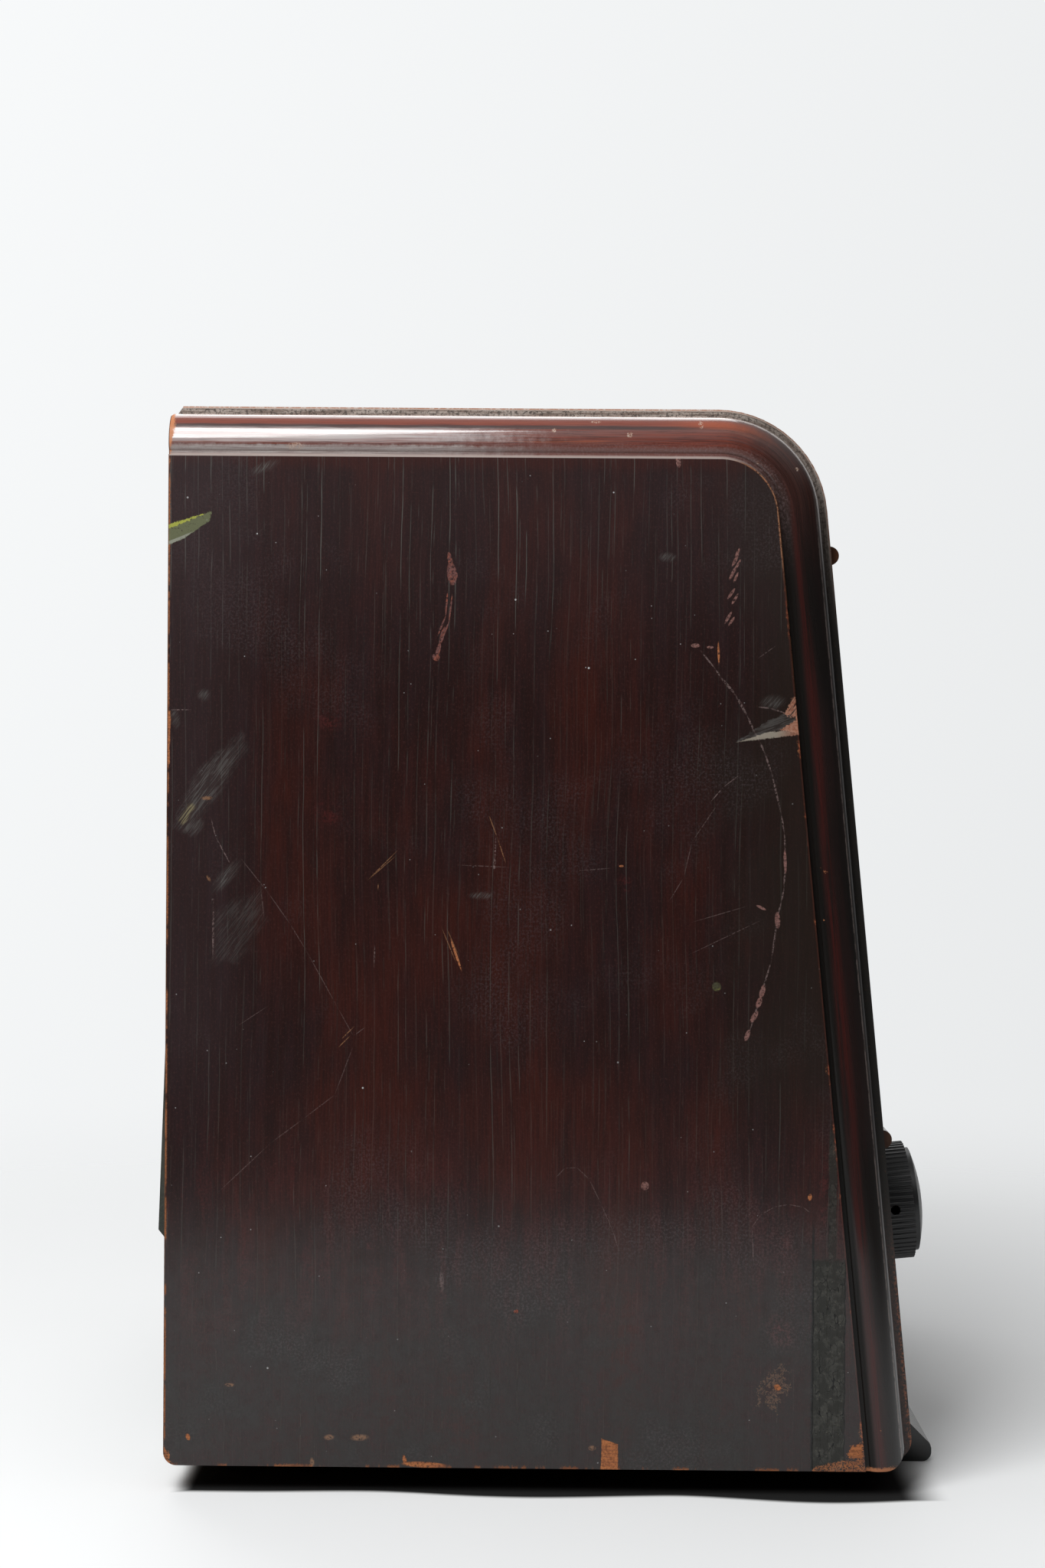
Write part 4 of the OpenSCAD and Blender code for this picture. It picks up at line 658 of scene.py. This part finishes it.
def bare_places(side, beside_moulding):
    """Mask of the bare wood: scratches, rear and lower edge, chips, and beside the moulding."""
    forward, height, crumble, ragged = side.forward, side.height, side.crumble, side.ragged
    scratches = side.along_lines(BARE_SCRATCHES) * crumble.rise(0.30, 0.44)
    broken = side.flat_noise(2.0, height * 0.035, 4.0, 0.75).rise(0.42, 0.54)
    rear = (forward + crumble * 1.3).rise(1.7, 1.0) * broken
    rear = rear.larger(side.patch(REAR_NICK, ragged - 0.6))
    broken = side.flat_noise(forward * 0.05, 3.0, 4.0, 0.75).rise(0.50, 0.56)
    low = (height + crumble * 3.2).rise(2.7, 2.1) * broken
    chip = side.patch(LOW_CHIP, ragged - 0.6)
    front_edge = side.patch(FRONT_LOW_EDGE, (crumble - 0.5) * 3)
    front = side.patch(FRONT_CHIP, (crumble - 0.5) * 3).larger(
        crumble.rise(0.40, 0.54) * 0.8 * front_edge)
    corner = side.patch(REAR_CORNER, (crumble - 0.48) * 4) * crumble.rise(0.34, 0.50)
    bare = scratches.larger(rear).larger(low * 0.6).larger(chip).larger(front * 0.9)
    return bare.larger(corner * 0.8).larger(beside_moulding)


def worn_wood(side, colour):
    """Wear down to the wood: bare places, the torn spot at the moulding, the edges beside it, and a
    painted highlight on the top edge under the moulding.
    """
    forward, height, out = side.forward, side.height, side.out
    crumble, ragged, hatch = side.crumble, side.ragged, side.hatch
    tan = side.along_lines(TAN_SCRATCHES, 0.6) * crumble.rise(0.34, 0.52)
    browned = side.patch(BROWN_SPOT, (ragged - 0.62) * 22) * crumble.rise(0.44, 0.56)
    patches = side.flat_noise(height * 0.045, 8.0, 3.0, 0.75).rise(0.54, 0.62)
    red_edge = (out + (crumble - 0.5) * 0.6).rise(21.3, 21.6) * height.rise(384, 376)
    bare_edge = (out + (ragged - 0.5) * 3.0).rise(20.8, 21.7) * patches * crumble.rise(0.48, 0.6)
    bare = bare_places(side, bare_edge * 0.55 * height.rise(384, 340))
    rings = side.flat_noise(forward * 0.1, height * 1.3)
    wood = side.mix(rings.rise(0.4, 0.65), BARE_ORANGE, BARE_RUST)
    wood = side.mix(crumble.rise(0.55, 0.42) * 0.6, wood, BARE_DARK)
    # The torn spot: a splintered block, with a pale wedge under it
    block = side.patch(TORN_BLOCK, (crumble - 0.52) * 4) * hatch.rise(0.62, 0.50)
    block = block.larger(side.patch(TORN_TIP, (crumble - 0.5) * 1.6))
    wedge = side.patch(TORN_WEDGE, (crumble - 0.55) * 1.4)
    torn = side.mix(crumble.rise(0.42, 0.58), TORN_BROWN, TORN_PINK)
    # Under the moulding: a painted highlight along the top edge, and rubbed edges tan round the
    # bend
    painted_arris_highlight = out.rise(21.45, 21.75) * height.rise(377, 379) * forward.rise(225, 205)
    bend = out.rise(21.35, 21.7) * height.rise(330, 350) * forward.rise(205, 222)
    colour = side.layered(
        colour,
        (tan * 0.5, SCRATCH_TAN),
        (browned * 0.42, SPOT_BROWN),
        (red_edge * (0.20 + patches * 0.7), WORN_RED),
        (bare * 0.9, wood),
        (block * 0.85, torn),
        (wedge * 0.65, side.mix(forward.rise(227, 236), TORN_PALE, torn)),
        (painted_arris_highlight * 0.8, ARRIS_PAINTED_HIGHLIGHT),
        (bend * crumble.rise(0.36, 0.50) * 0.75, BEND_TAN))
    return colour, bare.larger(wedge).larger(block)


def dried_paint(side, colour):
    """A leaf of dried paint at the rear edge, yellow along its rim, and a drop lower down."""
    crumble = side.crumble
    leaf = side.patch(PAINT_LEAF, (crumble - 0.5) * 1.2)
    rim = side.patch(PAINT_RIM, (crumble - 0.5) * 2.0)
    drop = side.from_line(*PAINT_DROP).rise(1.9, 1.2)
    drop = drop * (0.55 + crumble.rise(0.42, 0.56) * 0.45)
    shade = side.layered(
        PAINT_GREEN,
        (rim.larger(drop * side.ragged.rise(0.5, 0.7)) * 0.9, PAINT_YELLOW),
        (side.patch(THIN_PAINT) * 0.7, PAINT_GREY))
    paint = (leaf * crumble.rise(0.26, 0.40)).larger(drop * 0.45)
    return side.mix(paint * 0.88, colour, shade), paint


def side_finish():
    """The marked left side, layer on layer."""
    side = SideFinish("left side veneer")
    colour, relief, pores = stained_veneer(side)
    colour, filler = old_filler(side, colour)
    colour, scuffs = scuffs_and_scratches(side, colour)
    colour, flakes = flaked_lacquer(side, colour)
    colour, bare = worn_wood(side, colour)
    colour, paint = dried_paint(side, colour)
    worn = bare.larger(flakes).larger(scuffs * 0.6).larger(paint * 0.7).larger(filler * 0.45)
    uneven = 0.80 + (side.crumble - 0.5) * 0.5 + (side.ragged - 0.5) * 0.5
    lacquered(side, end_grain(side, colour), relief, (0.3 + worn * 0.35).clamp(),
              (uneven - pores * 0.4 - worn).clamp())
    side.put_on("side_board_left")


def plain_side_finish():
    """The unseen right side: the same veneer with a few knocks."""
    finish = Finish("right side veneer")
    colour, relief, pores = veneer(finish, finish.forward + 210, finish.height, -0.05)
    knocks = finish.noise(finish.place, 0.035, 5.0, 0.7).rise(0.68, 0.71)
    broken = finish.noise(finish.point(0.0, finish.height * 0.1), 1.0, 4.0, 0.7).rise(0.52, 0.64)
    worn = knocks.larger(finish.forward.rise(1.6, 0.3) * broken)
    colour = end_grain(finish, finish.mix(worn * 0.8, colour, BARE_ORANGE))
    lacquered(finish, colour, relief, (0.3 + worn * 0.3).clamp(),
              (0.8 - pores * 0.4 - worn).clamp())
    finish.put_on("side_board_right")


class MouldingFinish(Finish):
    """The rolled moulding's finish, with noises that follow it round the bend."""

    def __init__(self, name):
        super().__init__(name)
        self.ragged = self.noise(self.place, 0.25, 4.0, 0.75)
        self.crumble = self.noise(self.place, 1.2, 4.0, 0.75)
        self.streaks = self.grain(0.9, 0.014, 4.0, 0.7)
        self.fine = self.grain(3.0, 0.06, 3.0, 0.7)
        self.zones = self.grain(0.16, 0.010, 2.0)
        self.top = self.height.rise(330, 390)
        self.beside_board = (self.out + (self.ragged - 0.5) * 2).rise(26.6, 25.2)

    def grain(self, across, along, detail, rough=0.5):
        run = (self.forward - self.height) * along
        stretched = self.point(self.out * across, run, abs(self.x) * across)
        return self.noise(stretched, 1.0, detail, rough)


def moulding_down_the_front(roll):
    """Near black, with a dark red band towards the board."""
    red_band = abs(roll.out - 27.6 - roll.zones * 1.5).rise(3.2, 0.4)
    return roll.layered(
        ROLL_BLACK,
        (roll.zones.rise(0.38, 0.62), ROLL_BROWN_BLACK),
        (red_band * roll.streaks.rise(0.34, 0.6) * 0.7, ROLL_DARK_RED))


def moulding_along_the_top(roll):
    """Red brown in streaks, greyed beside the board, with a painted glow and a painted highlight
    that fade from the rear, rubbed at the corner.
    """
    forward, out = roll.forward, roll.out
    ragged, streaks, fine = roll.ragged, roll.streaks, roll.fine
    red_line = abs(out - 35.3).rise(1.8, 0.6) * streaks.rise(0.30, 0.50)
    ember = abs(out - 34.6 + (fine - 0.5) * 2).rise(2.4, 0.8)
    ember = ember * forward.rise(180, 208) * forward.rise(232, 220)
    soot_line = abs(out - 33.2 + (fine - 0.5) * 1.6).rise(1.0, 0.4) * forward.rise(215, 185)
    # Painted glow of the softbox: the band beside the board paler towards the rear
    painted_glow = (forward + (ragged - 0.5) * 60).rise(150, 90)
    greyed = roll.layered(
        TOP_ROSE, (painted_glow, TOP_PAINTED_GLOW), (fine.rise(0.46, 0.58) * 0.45, TOP_GREY_BROWN))
    # Painted highlight of the softbox along the roll, streaked like dust, fading towards the front
    highlight_and_dust = abs(out - 29.8 + (fine - 0.5) * 2.5).rise(3.6, 1.6) * painted_glow
    highlight_and_dust = highlight_and_dust * (0.4 + streaks.rise(0.35, 0.55) * 0.6)
    rubbed = roll.mix(streaks.rise(0.42, 0.60), CORNER_BLACK, CORNER_BROWN)
    return roll.layered(
        TOP_RED,
        (streaks.rise(0.40, 0.60), TOP_PLUM),
        (streaks.rise(0.52, 0.68) * 0.8, TOP_ORANGE),
        (fine.rise(0.54, 0.36) * 0.6, TOP_SOOT),
        (red_line * 0.6, TOP_RED_LINE),
        (ember * 0.7, TOP_EMBER),
        (soot_line * 0.75, TOP_SOOT_LINE),
        (roll.beside_board * 0.85, greyed),
        (highlight_and_dust * 0.62, TOP_HIGHLIGHT_AND_DUST),
        ((forward + ragged * 16).rise(208, 240) * 0.85, rubbed))


def moulding_finish():
    """The rolled edge, whose grain follows it round the bend."""
    roll = MouldingFinish("moulding lacquer")
    forward, height, out, top = roll.forward, roll.height, roll.out, roll.top
    ragged, crumble = roll.ragged, roll.crumble
    # Painted shade in the recess beside the board down the front
    recess_shade = (1 - top) * out.rise(27.0, 25.0)
    mottle = crumble.rise(0.46, 0.64) * out.rise(28.5, 25.0) * top

    # Pale lines, part wear and part painted highlight where edges catch the light: beside the board
    # on top, near the quirk down the front, along the quirk
    sway = (ragged - 0.5) * 0.7
    lip = (out + sway * 0.3).rise(22.9, 22.4) * top * forward.rise(228, 200)
    crest = abs(out - 36.6 + sway).rise(0.42, 0.12) * (1 - top)
    crest = crest * (0.35 + ragged.rise(0.40, 0.52) * 0.65)
    quirk = abs(out - 37.6 + sway * 0.3).rise(0.75, 0.30) * top * ragged.rise(0.34, 0.46)
    lines = (lip * 0.8).larger(crest * 0.30).larger(quirk * 0.45)
    chips = roll.along_lines(MOULDING_CHIPS, 0.5) * crumble.rise(0.44, 0.54) * roll.x.rise(0, -9)

    # Bare wood at the rear ends and at the foot, inside the bend and in knocks
    rear = (forward + crumble * 4 + abs(out - 33) * 0.15).rise(4.6, 3.6)
    foot = (height + crumble * 3).rise(3.4, 2.4) * ragged.rise(0.42, 0.52)
    bend = (out + sway).rise(22.5, 22.1) * height.rise(374, 352) * height.rise(250, 330) * 0.5
    knocks = roll.noise(roll.place, 0.07, 5.0, 0.75).rise(0.70, 0.72)
    worn = rear.larger(knocks * 0.8).larger(foot * 0.7).larger(bend * ragged.rise(0.38, 0.5))
    colour = roll.layered(
        roll.mix(top, moulding_down_the_front(roll), moulding_along_the_top(roll)),
        (recess_shade * 0.8, ROLL_PAINTED_RECESS_SHADE),
        (mottle * 0.30, TOP_MOTTLE),
        (lines, LINE_WEAR_AND_HIGHLIGHT),
        (chips * 0.7, roll.mix(crumble.rise(0.48, 0.56), CHIP_TAN, CHIP_PALE)),
        (worn * 0.88, KNOCK_ORANGE))

    # Dull where it is worn, beside the board and along the ply down the front
    low = (1 - top) * height.rise(290, 130)
    dull = (1 - top) * out.rise(32.5, 35.5) * height.rise(45, 150)
    dull = dull.larger(roll.beside_board * top * 0.8)
    whole = (1 - worn) * (1 - dull * 0.85) * (1 - recess_shade * 0.85) * (0.9 - low * 0.50)
    roughness = (0.22 + roll.fine * 0.14 + worn * 0.3 + dull * 0.3).clamp()
    roll.surface(
        Base_Color=end_grain(roll, colour), Roughness=roughness, Specular_IOR_Level=0.15,
        Coat_Weight=whole.clamp(), Coat_Roughness=0.09, Coat_IOR=1.65,
        Normal=roll.bump(roll.streaks * 0.3 + roll.fine * 0.3, 0.32, 0.12))
    roll.put_on("edge_moulding_left", "edge_moulding_right")


def ply_edge(finish, top):
    """The worn plywood edge beyond the moulding: layered and pale on top, black down the front."""
    out, height, along = finish.out, finish.height, finish.forward - finish.height
    layers = finish.noise(finish.point(along * 0.06, finish.x * 0.3, out * 1.1), 1.0, 4.0, 0.7)
    flecks = finish.noise(finish.place, 0.75, 4.0, 0.8)
    rims = abs(out - 40.2 + (flecks - 0.5) * 0.8).rise(0.9, 1.25)
    tan = finish.layered(
        PLY_PALE,
        (layers.rise(0.42, 0.58), PLY_TAN),
        (flecks.rise(0.48, 0.58) * 0.8, PLY_DARK),
        (rims * 0.85, PLY_RIM),
        (out.rise(41.35, 41.7) * flecks.rise(0.42, 0.52) * 0.8, PLY_RED_TAN),
        (finish.forward.rise(205, 228) * 0.5, PLY_BROWN))
    orange = height.rise(90, 50) * out.rise(40.4, 41.2) * flecks.rise(0.50, 0.56)
    black = finish.layered(
        PLY_BLACK,
        (flecks.rise(0.6, 0.7) * 0.4, PLY_FLECK),
        (height.rise(110, 50) * flecks.rise(0.40, 0.56) * 0.8, PLY_LOW_WEAR),
        (orange * 0.7, PLY_LOW_ORANGE))
    return finish.mix(top, black, tan)


def panel_finish():
    """Bent plywood, veneered outside and bare at its edges."""
    finish = Finish("bent panel veneer")
    along = finish.forward - finish.height
    colour, relief, pores = veneer(finish, finish.x, along, 0.05)
    panel_end = CABINET_W / 2 - PANEL_IN
    edge = abs(finish.x).rise(panel_end - 1.4, panel_end - 0.6)
    top = finish.height.rise(310, 392)
    colour = finish.mix(edge, colour, ply_edge(finish, top))
    worn = edge * (0.35 + top * 0.5)
    lacquered(finish, colour, relief, (0.32 + worn * 0.35).clamp(),
              (0.8 - pores * 0.4 - worn).clamp())
    finish.put_on("front_and_top_panel")


def bare_wood_finish():
    """The boards and blocks inside."""
    finish = Finish("bare wood")
    stretched = finish.point(finish.x * 0.05, finish.y * 0.9, finish.z * 0.9)
    streaks = finish.noise(stretched, 1.0, 4.0, 0.6)
    stain = finish.noise(finish.place, 0.02, 4.0, 0.6)
    colour = finish.layered(
        (0.30, 0.17, 0.08),
        (streaks.rise(0.35, 0.65), (0.42, 0.27, 0.14)),
        (stain.rise(0.5, 0.75) * 0.6, (0.12, 0.07, 0.035)))
    finish.surface(Base_Color=colour, Roughness=0.78, Normal=finish.bump(streaks, 0.4, 0.2))
    finish.put_on("bottom_board", "glue_blocks", "rear_battens", "baffle_board", "chassis_runners")


def cover_finish():
    """Pressed fibreboard with loose fibres in it."""
    finish = Finish("pressed fibreboard")
    fibres = finish.noise(finish.place, 0.8, 5.0, 0.7, 1.5)
    cloud = finish.noise(finish.place, 0.02, 3.0)
    colour = finish.layered(
        (0.012, 0.015, 0.011),
        (fibres.rise(0.35, 0.7), (0.035, 0.040, 0.030)),
        (cloud.rise(0.45, 0.7) * 0.5, (0.05, 0.042, 0.03)))
    finish.surface(Base_Color=colour, Roughness=0.7, Normal=finish.bump(fibres, 0.5, 0.15))
    finish.put_on("back_cover")


# Small pieces: gloss, metal, paint and glass
def dark_gloss(name, base, lighter, roughness, names):
    """Black or amber lacquer over wood, or moulded resin: nearly even, with a fine unevenness."""
    finish = Finish(name)
    cloud = finish.noise(finish.place, 0.05, 3.0)
    fine = finish.noise(finish.place, 0.4, 3.0, 0.6)
    colour = finish.layered(
        base, (cloud.rise(0.35, 0.7), lighter), (dust(finish, 9, 0.4) * 0.6, grey(0.25)))
    finish.surface(Base_Color=colour, Roughness=(roughness + fine * 0.12).clamp(),
                   Normal=finish.bump(fine, 0.15, 0.06))
    finish.put_on(*names)


def metal(name, colour, tarnish, roughness, names, brushed=(0.3, 0.3, 0.3)):
    """Metal with dull tarnished clouds. Its scratches run where brushed is smallest."""
    finish = Finish(name)
    scratches = finish.noise(finish.vector("MULTIPLY", finish.place, brushed), 1.0, 4.0, 0.6)
    dull = finish.noise(finish.place, 0.06, 4.0, 0.65).rise(0.42, 0.66)
    finish.surface(
        Base_Color=finish.mix(dull * 0.7, colour, tarnish), Metallic=1.0,
        Roughness=(roughness + scratches * 0.2 + dull * 0.2).clamp(),
        Normal=finish.bump(scratches, 0.15, 0.05))
    finish.put_on(*names)


def painted(name, colour, darker, roughness, names):
    """Paint, card, paper or resin board with a slight mottle."""
    finish = Finish(name)
    mottle = finish.noise(finish.place, 0.12, 4.0, 0.6)
    fine = finish.noise(finish.place, 1.2, 3.0, 0.6)
    finish.surface(
        Base_Color=finish.mix(mottle.rise(0.4, 0.7), colour, darker),
        Roughness=(roughness + fine * 0.1).clamp(), Normal=finish.bump(fine, 0.2, 0.05))
    finish.put_on(*names)


def glass_finish():
    """Thin clear glass: it shows what is behind it and mirrors a little."""
    finish = Finish("clear glass")
    clear = finish.field("BsdfTransparent", 0, {}, {"Color": (0.93, 0.96, 0.93)})
    gloss = finish.field("BsdfGlossy", 0, {}, {"Color": grey(0.6), "Roughness": 0.03})
    edge = finish.field("Fresnel", 0, {}, {"IOR": 1.5})
    finish.show(finish.mix_shaders(edge.clamp(), clear, gloss))
    finish.put_on("dial_glass", "valve_glass", "dial_lamps")


def dress_the_nodes():
    side_finish()
    plain_side_finish()
    moulding_finish()
    panel_finish()
    bare_wood_finish()
    cover_finish()
    dark_gloss("black foot lacquer", (0.006, 0.006, 0.006), (0.012, 0.011, 0.010), 0.10,
               ["front_feet", "rear_feet"])
    dark_gloss("amber bead lacquer", (0.030, 0.015, 0.010), (0.085, 0.034, 0.016), 0.16,
               ["upper_bead", "lower_bead"])
    dark_gloss("black knob resin", (0.0065, 0.0065, 0.007), (0.011, 0.011, 0.012), 0.36,
               ["tuning_knob", "volume_knob", "wave_knob", "valve_bases"])
    metal("dull steel", (0.50, 0.50, 0.49), (0.22, 0.19, 0.16), 0.35,
          ["speaker_bolts", "scale_posts", "pointer_rail", "idler_pins", "chassis_bolts",
           "gang_frame", "back_cover_screws"])
    metal("aged brass", (0.60, 0.42, 0.16), (0.20, 0.12, 0.05), 0.28,
          ["dial_bezel", "idler_left", "idler_right", "tuning_bush", "tuning_spindle",
           "volume_shaft", "wave_shaft", "aerial_earth_sockets"])
    metal("dull aluminium", (0.60, 0.61, 0.62), (0.36, 0.36, 0.35), 0.38,
          ["coil_cans", "smoothing_cans", "gang_rotor", "drive_drum"], (0.2, 0.2, 1.2))
    metal("dark nickel", (0.34, 0.34, 0.33), (0.15, 0.15, 0.15), 0.4, ["valve_electrodes"])
    painted("grey steel paint", (0.24, 0.25, 0.26), (0.15, 0.15, 0.15), 0.45,
            ["speaker_basket", "dial_plate", "chassis", "mains_transformer_core",
             "output_transformer"])
    painted("black enamel", (0.018, 0.018, 0.018), (0.03, 0.028, 0.026), 0.35,
            ["speaker_magnet"])
    painted("cone paper", (0.035, 0.030, 0.027), (0.055, 0.05, 0.045), 0.85, ["speaker_cone"])
    painted("dial card", (0.72, 0.62, 0.40), (0.58, 0.46, 0.26), 0.6, ["dial_scale"])
    painted("red enamel", (0.45, 0.06, 0.03), (0.35, 0.05, 0.03), 0.3, ["dial_pointer"])
    painted("waxed cord", (0.33, 0.25, 0.13), (0.20, 0.14, 0.07), 0.7, ["drive_cord"])
    painted("varnished paper", (0.30, 0.15, 0.06), (0.18, 0.08, 0.03), 0.4,
            ["mains_transformer_coil"])
    painted("brown resin board", (0.17, 0.09, 0.04), (0.10, 0.05, 0.025), 0.45,
            ["valve_sockets", "aerial_earth_strip", "volume_control", "wave_switch"])
    painted("black felt", (0.020, 0.019, 0.017), (0.035, 0.033, 0.03), 0.95, ["felt_rings"])
    painted("black rubber", (0.013, 0.013, 0.013), (0.022, 0.021, 0.02), 0.7,
            ["mains_grommet"])
    glass_finish()


# Pieces made here
def add_mesh(name, verts, faces):
    mesh = bpy.data.meshes.new(name)
    mesh.from_pydata([tuple(v) for v in verts], [], faces)
    mesh.update()
    return link(name, mesh)


# The grille cloth's mesh, and how fast its threads and its pattern wave, in radians a millimetre
CLOTH_COLUMNS, CLOTH_ROWS = 96, 70
THREAD_WAVE = 4.2
PATTERN_WAVE = 0.42


def weave_finish():
    """Brown and straw threads with a lattice pattern, faded in clouds."""
    finish = Finish("woven grille cloth")
    x, up = finish.x, finish.height
    warp, weft = (finish.number("SINE", at * THREAD_WAVE) for at in (x, up))
    rising, falling = (finish.number("SINE", at * PATTERN_WAVE) for at in (x + up, x - up))
    faded = finish.noise(finish.place, 0.012, 3.0)
    colour = finish.layered(
        (0.13, 0.075, 0.035),
        ((warp * weft).rise(-0.4, 0.4), (0.36, 0.25, 0.12)),
        ((rising * falling).rise(0.1, 0.5) * 0.6, (0.10, 0.05, 0.03)),
        (faded.rise(0.45, 0.7) * 0.35, (0.30, 0.24, 0.16)))
    finish.surface(Base_Color=colour, Roughness=0.85,
                   Normal=finish.bump(abs(warp).larger(abs(weft)), 0.5, 0.2))
    return finish.material


def grille_cloth():
    """Woven cloth stretched over the baffle board, with a faint ripple."""
    across = CLOTH_COLUMNS + 1
    verts = []
    for row in range(CLOTH_ROWS + 1):
        for column in range(across):
            x = (column / CLOTH_COLUMNS - 0.5) * CLOTH_W
            s = (row / CLOTH_ROWS - 0.5) * CLOTH_H
            ripple = 0.06 * math.sin(x * 0.21) * math.cos(s * 0.17)
            verts.append(on_front(x, SPEAKER_S + s, -PANEL_T - 0.35 + ripple))
    corners = [row * across + column
               for row in range(CLOTH_ROWS) for column in range(CLOTH_COLUMNS)]
    faces = [(at, at + 1, at + across + 1, at + across) for at in corners]
    cloth = add_mesh("woven_grille_cloth", verts, faces)
    for face in cloth.data.polygons:
        face.use_smooth = True
    cloth.data.materials.append(weave_finish())
    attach(cloth, "root")
    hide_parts("grille_cloth")


# The dial's print: the pointer's travel either way, and the sizes of lines, marks and numbers
TRAVEL = 42
PRINT_OUT = -SCALE_IN + 0.05
LINE_OVERRUN, LINE_W = 6, 0.35
LONG_MARK, SHORT_MARK, MARK_W = 3.4, 1.4, 0.28
NUMBER_SIZE = 6.0


def print_material():
    finish = Finish("dial print")
    fade = finish.noise(finish.place, 0.3, 3.0)
    colour = finish.mix(fade.rise(0.4, 0.7), (0.05, 0.03, 0.02), (0.10, 0.06, 0.035))
    finish.surface(Base_Color=colour, Roughness=0.6)
    return finish.material


def dial_place(step):
    """Where a step from 0 to 100 lies across the dial."""
    return -TRAVEL + 2 * TRAVEL * step / 100


def on_dial(piece, ink):
    piece.data.materials.append(ink)
    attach(piece, "root")


def dial_print():
    """Two plain scales of 0 to 100 with their division marks, printed on the card."""
    ink = print_material()
    verts, faces = [], []

    def bar(x, s, width, height):
        base = len(verts)
        for dx, ds in ((-1, -1), (1, -1), (1, 1), (-1, 1)):
            verts.append(on_front(x + dx * width / 2, DIAL_S + s + ds * height / 2, PRINT_OUT))
        faces.append((base, base + 1, base + 2, base + 3))

    for line_s, side in ((7.5, 1), (-6.5, -1)):
        bar(0, line_s, 2 * TRAVEL + LINE_OVERRUN, LINE_W)
        for step in range(0, 101, 2):
            tall = SHORT_MARK if step % 10 else LONG_MARK
            bar(dial_place(step), line_s - side * tall / 2, MARK_W, tall)
    on_dial(add_mesh("dial_divisions", verts, faces), ink)

    front = Matrix.Rotation(math.radians(90) - LEAN, 4, "X")
    for numbers_s in (10.0, -13.6):
        for step in range(0, 101, 20):
            data = bpy.data.curves.new(f"dial_number_{step}", "FONT")
            data.body = str(step)
            data.size = NUMBER_SIZE * MM
            data.align_x = "CENTER"
            number = link(f"dial_number_{step}", data)
            spot = on_front(dial_place(step), DIAL_S + numbers_s, PRINT_OUT)
            number.matrix_world = Matrix.Translation(spot) @ front
            on_dial(number, ink)


# Studio. Each lamp: its place, what it shines at, its two lengths and its power
LAMPS = {
    "softbox above the rear": ((-1.02, 0.54, 1.28), (-0.1, 0.05, 0.35), (0.85, 0.90), 25),
    "overhead": ((1.25, 0.35, 1.60), (0, 0, 0.1), (1.4, 1.4), 11),
}
BACKDROP = (0.985, 1.0, 1.008)
FLOOR_REACH = 3.0
FLOOR_PALE = (0.865, 0.875, 0.88)
FLOOR_PAINTED_SHADE = (0.79, 0.80, 0.805)
PAINTED_SHADOW_EDGE = CABINET_W / 2 - 1


def add_lamp(name, place, target, size, power):
    data = bpy.data.lights.new(name, "AREA")
    data.shape = "RECTANGLE"
    data.size, data.size_y = size
    data.energy = power
    lamp = link(name, data)
    lamp.location = place
    lamp.rotation_euler = (Vector(target) - Vector(place)).to_track_quat("-Z", "Y").to_euler()


def add_world():
    """White to the camera. The set sees it bright behind itself, softer above, dim elsewhere."""
    world = bpy.data.worlds.new("studio")
    world.use_nodes = True
    sky = Graph(world.node_tree)
    ahead, left, up = sky.split(sky.field("TexCoord", "Generated"))
    seen = left * 0.22 + up * 0.10 + 0.880
    room = ahead.rise(0.62, 0.88) * 0.78 + up.rise(0.3, 0.95) * 0.40 + 0.035
    camera = sky.field("LightPath", "Is Camera Ray")
    background = sky.field("Background", 0, {}, {
        "Color": sky.mix(camera, grey(1.0), BACKDROP),
        "Strength": seen * camera + room * (1 - camera)})
    sky.node("OutputWorld", {}, {"Surface": background})
    bpy.context.scene.world = world


def add_floor():
    """Pale floor that fades into the white surroundings, with a painted shadow close under the set
    and painted shade to the near left.
    """
    corners = [(-1, -1), (1, -1), (1, 1), (-1, 1)]
    floor = add_mesh("floor", [(x * FLOOR_REACH, y * FLOOR_REACH, 0) for x, y in corners],
                     [(0, 1, 2, 3)])
    finish = Finish("pale floor")
    forward = finish.forward
    # Along the left side the contact shadow's edge swells out at two places and in at one
    swell = abs(forward - 138).rise(62, 0) * 4.5 + abs(forward - 250).rise(62, 0) * 8
    swell = swell - abs(forward - 75).rise(45, 0) * 2
    edge = PAINTED_SHADOW_EDGE + swell * finish.x.rise(-100, -150)
    # Painted shadow, near black close under the set
    painted_contact_shadow = (edge - abs(finish.x)).rise(2.2, -2.2)
    painted_contact_shadow = painted_contact_shadow.larger(forward.rise(11, 2)).larger(forward.rise(278, 297))
    # Painted shade: the floor a little darker to the near left
    near = finish.x.rise(-190, -560) * finish.y.rise(-200, 120)
    colour = finish.mix(painted_contact_shadow, grey(0.02), finish.mix(near, FLOOR_PALE, FLOOR_PAINTED_SHADE))
    matt = finish.field("BsdfDiffuse", 0, {}, {"Color": colour})
    clear = finish.field("BsdfTransparent", 0)
    away = finish.vector("LENGTH", finish.point((finish.x + 180).larger(0), finish.y))
    fade = away.rise(150, 1200).larger(finish.x.rise(-650, -770))
    finish.show(finish.mix_shaders(fade, matt, clear))
    floor.data.materials.append(finish.material)


add_camera()
bpy.context.scene.view_settings.view_transform = "Standard"
add_world()
add_floor()
for name, settings in LAMPS.items():
    add_lamp(name, *settings)
dress_the_nodes()
grille_cloth()
dial_print()
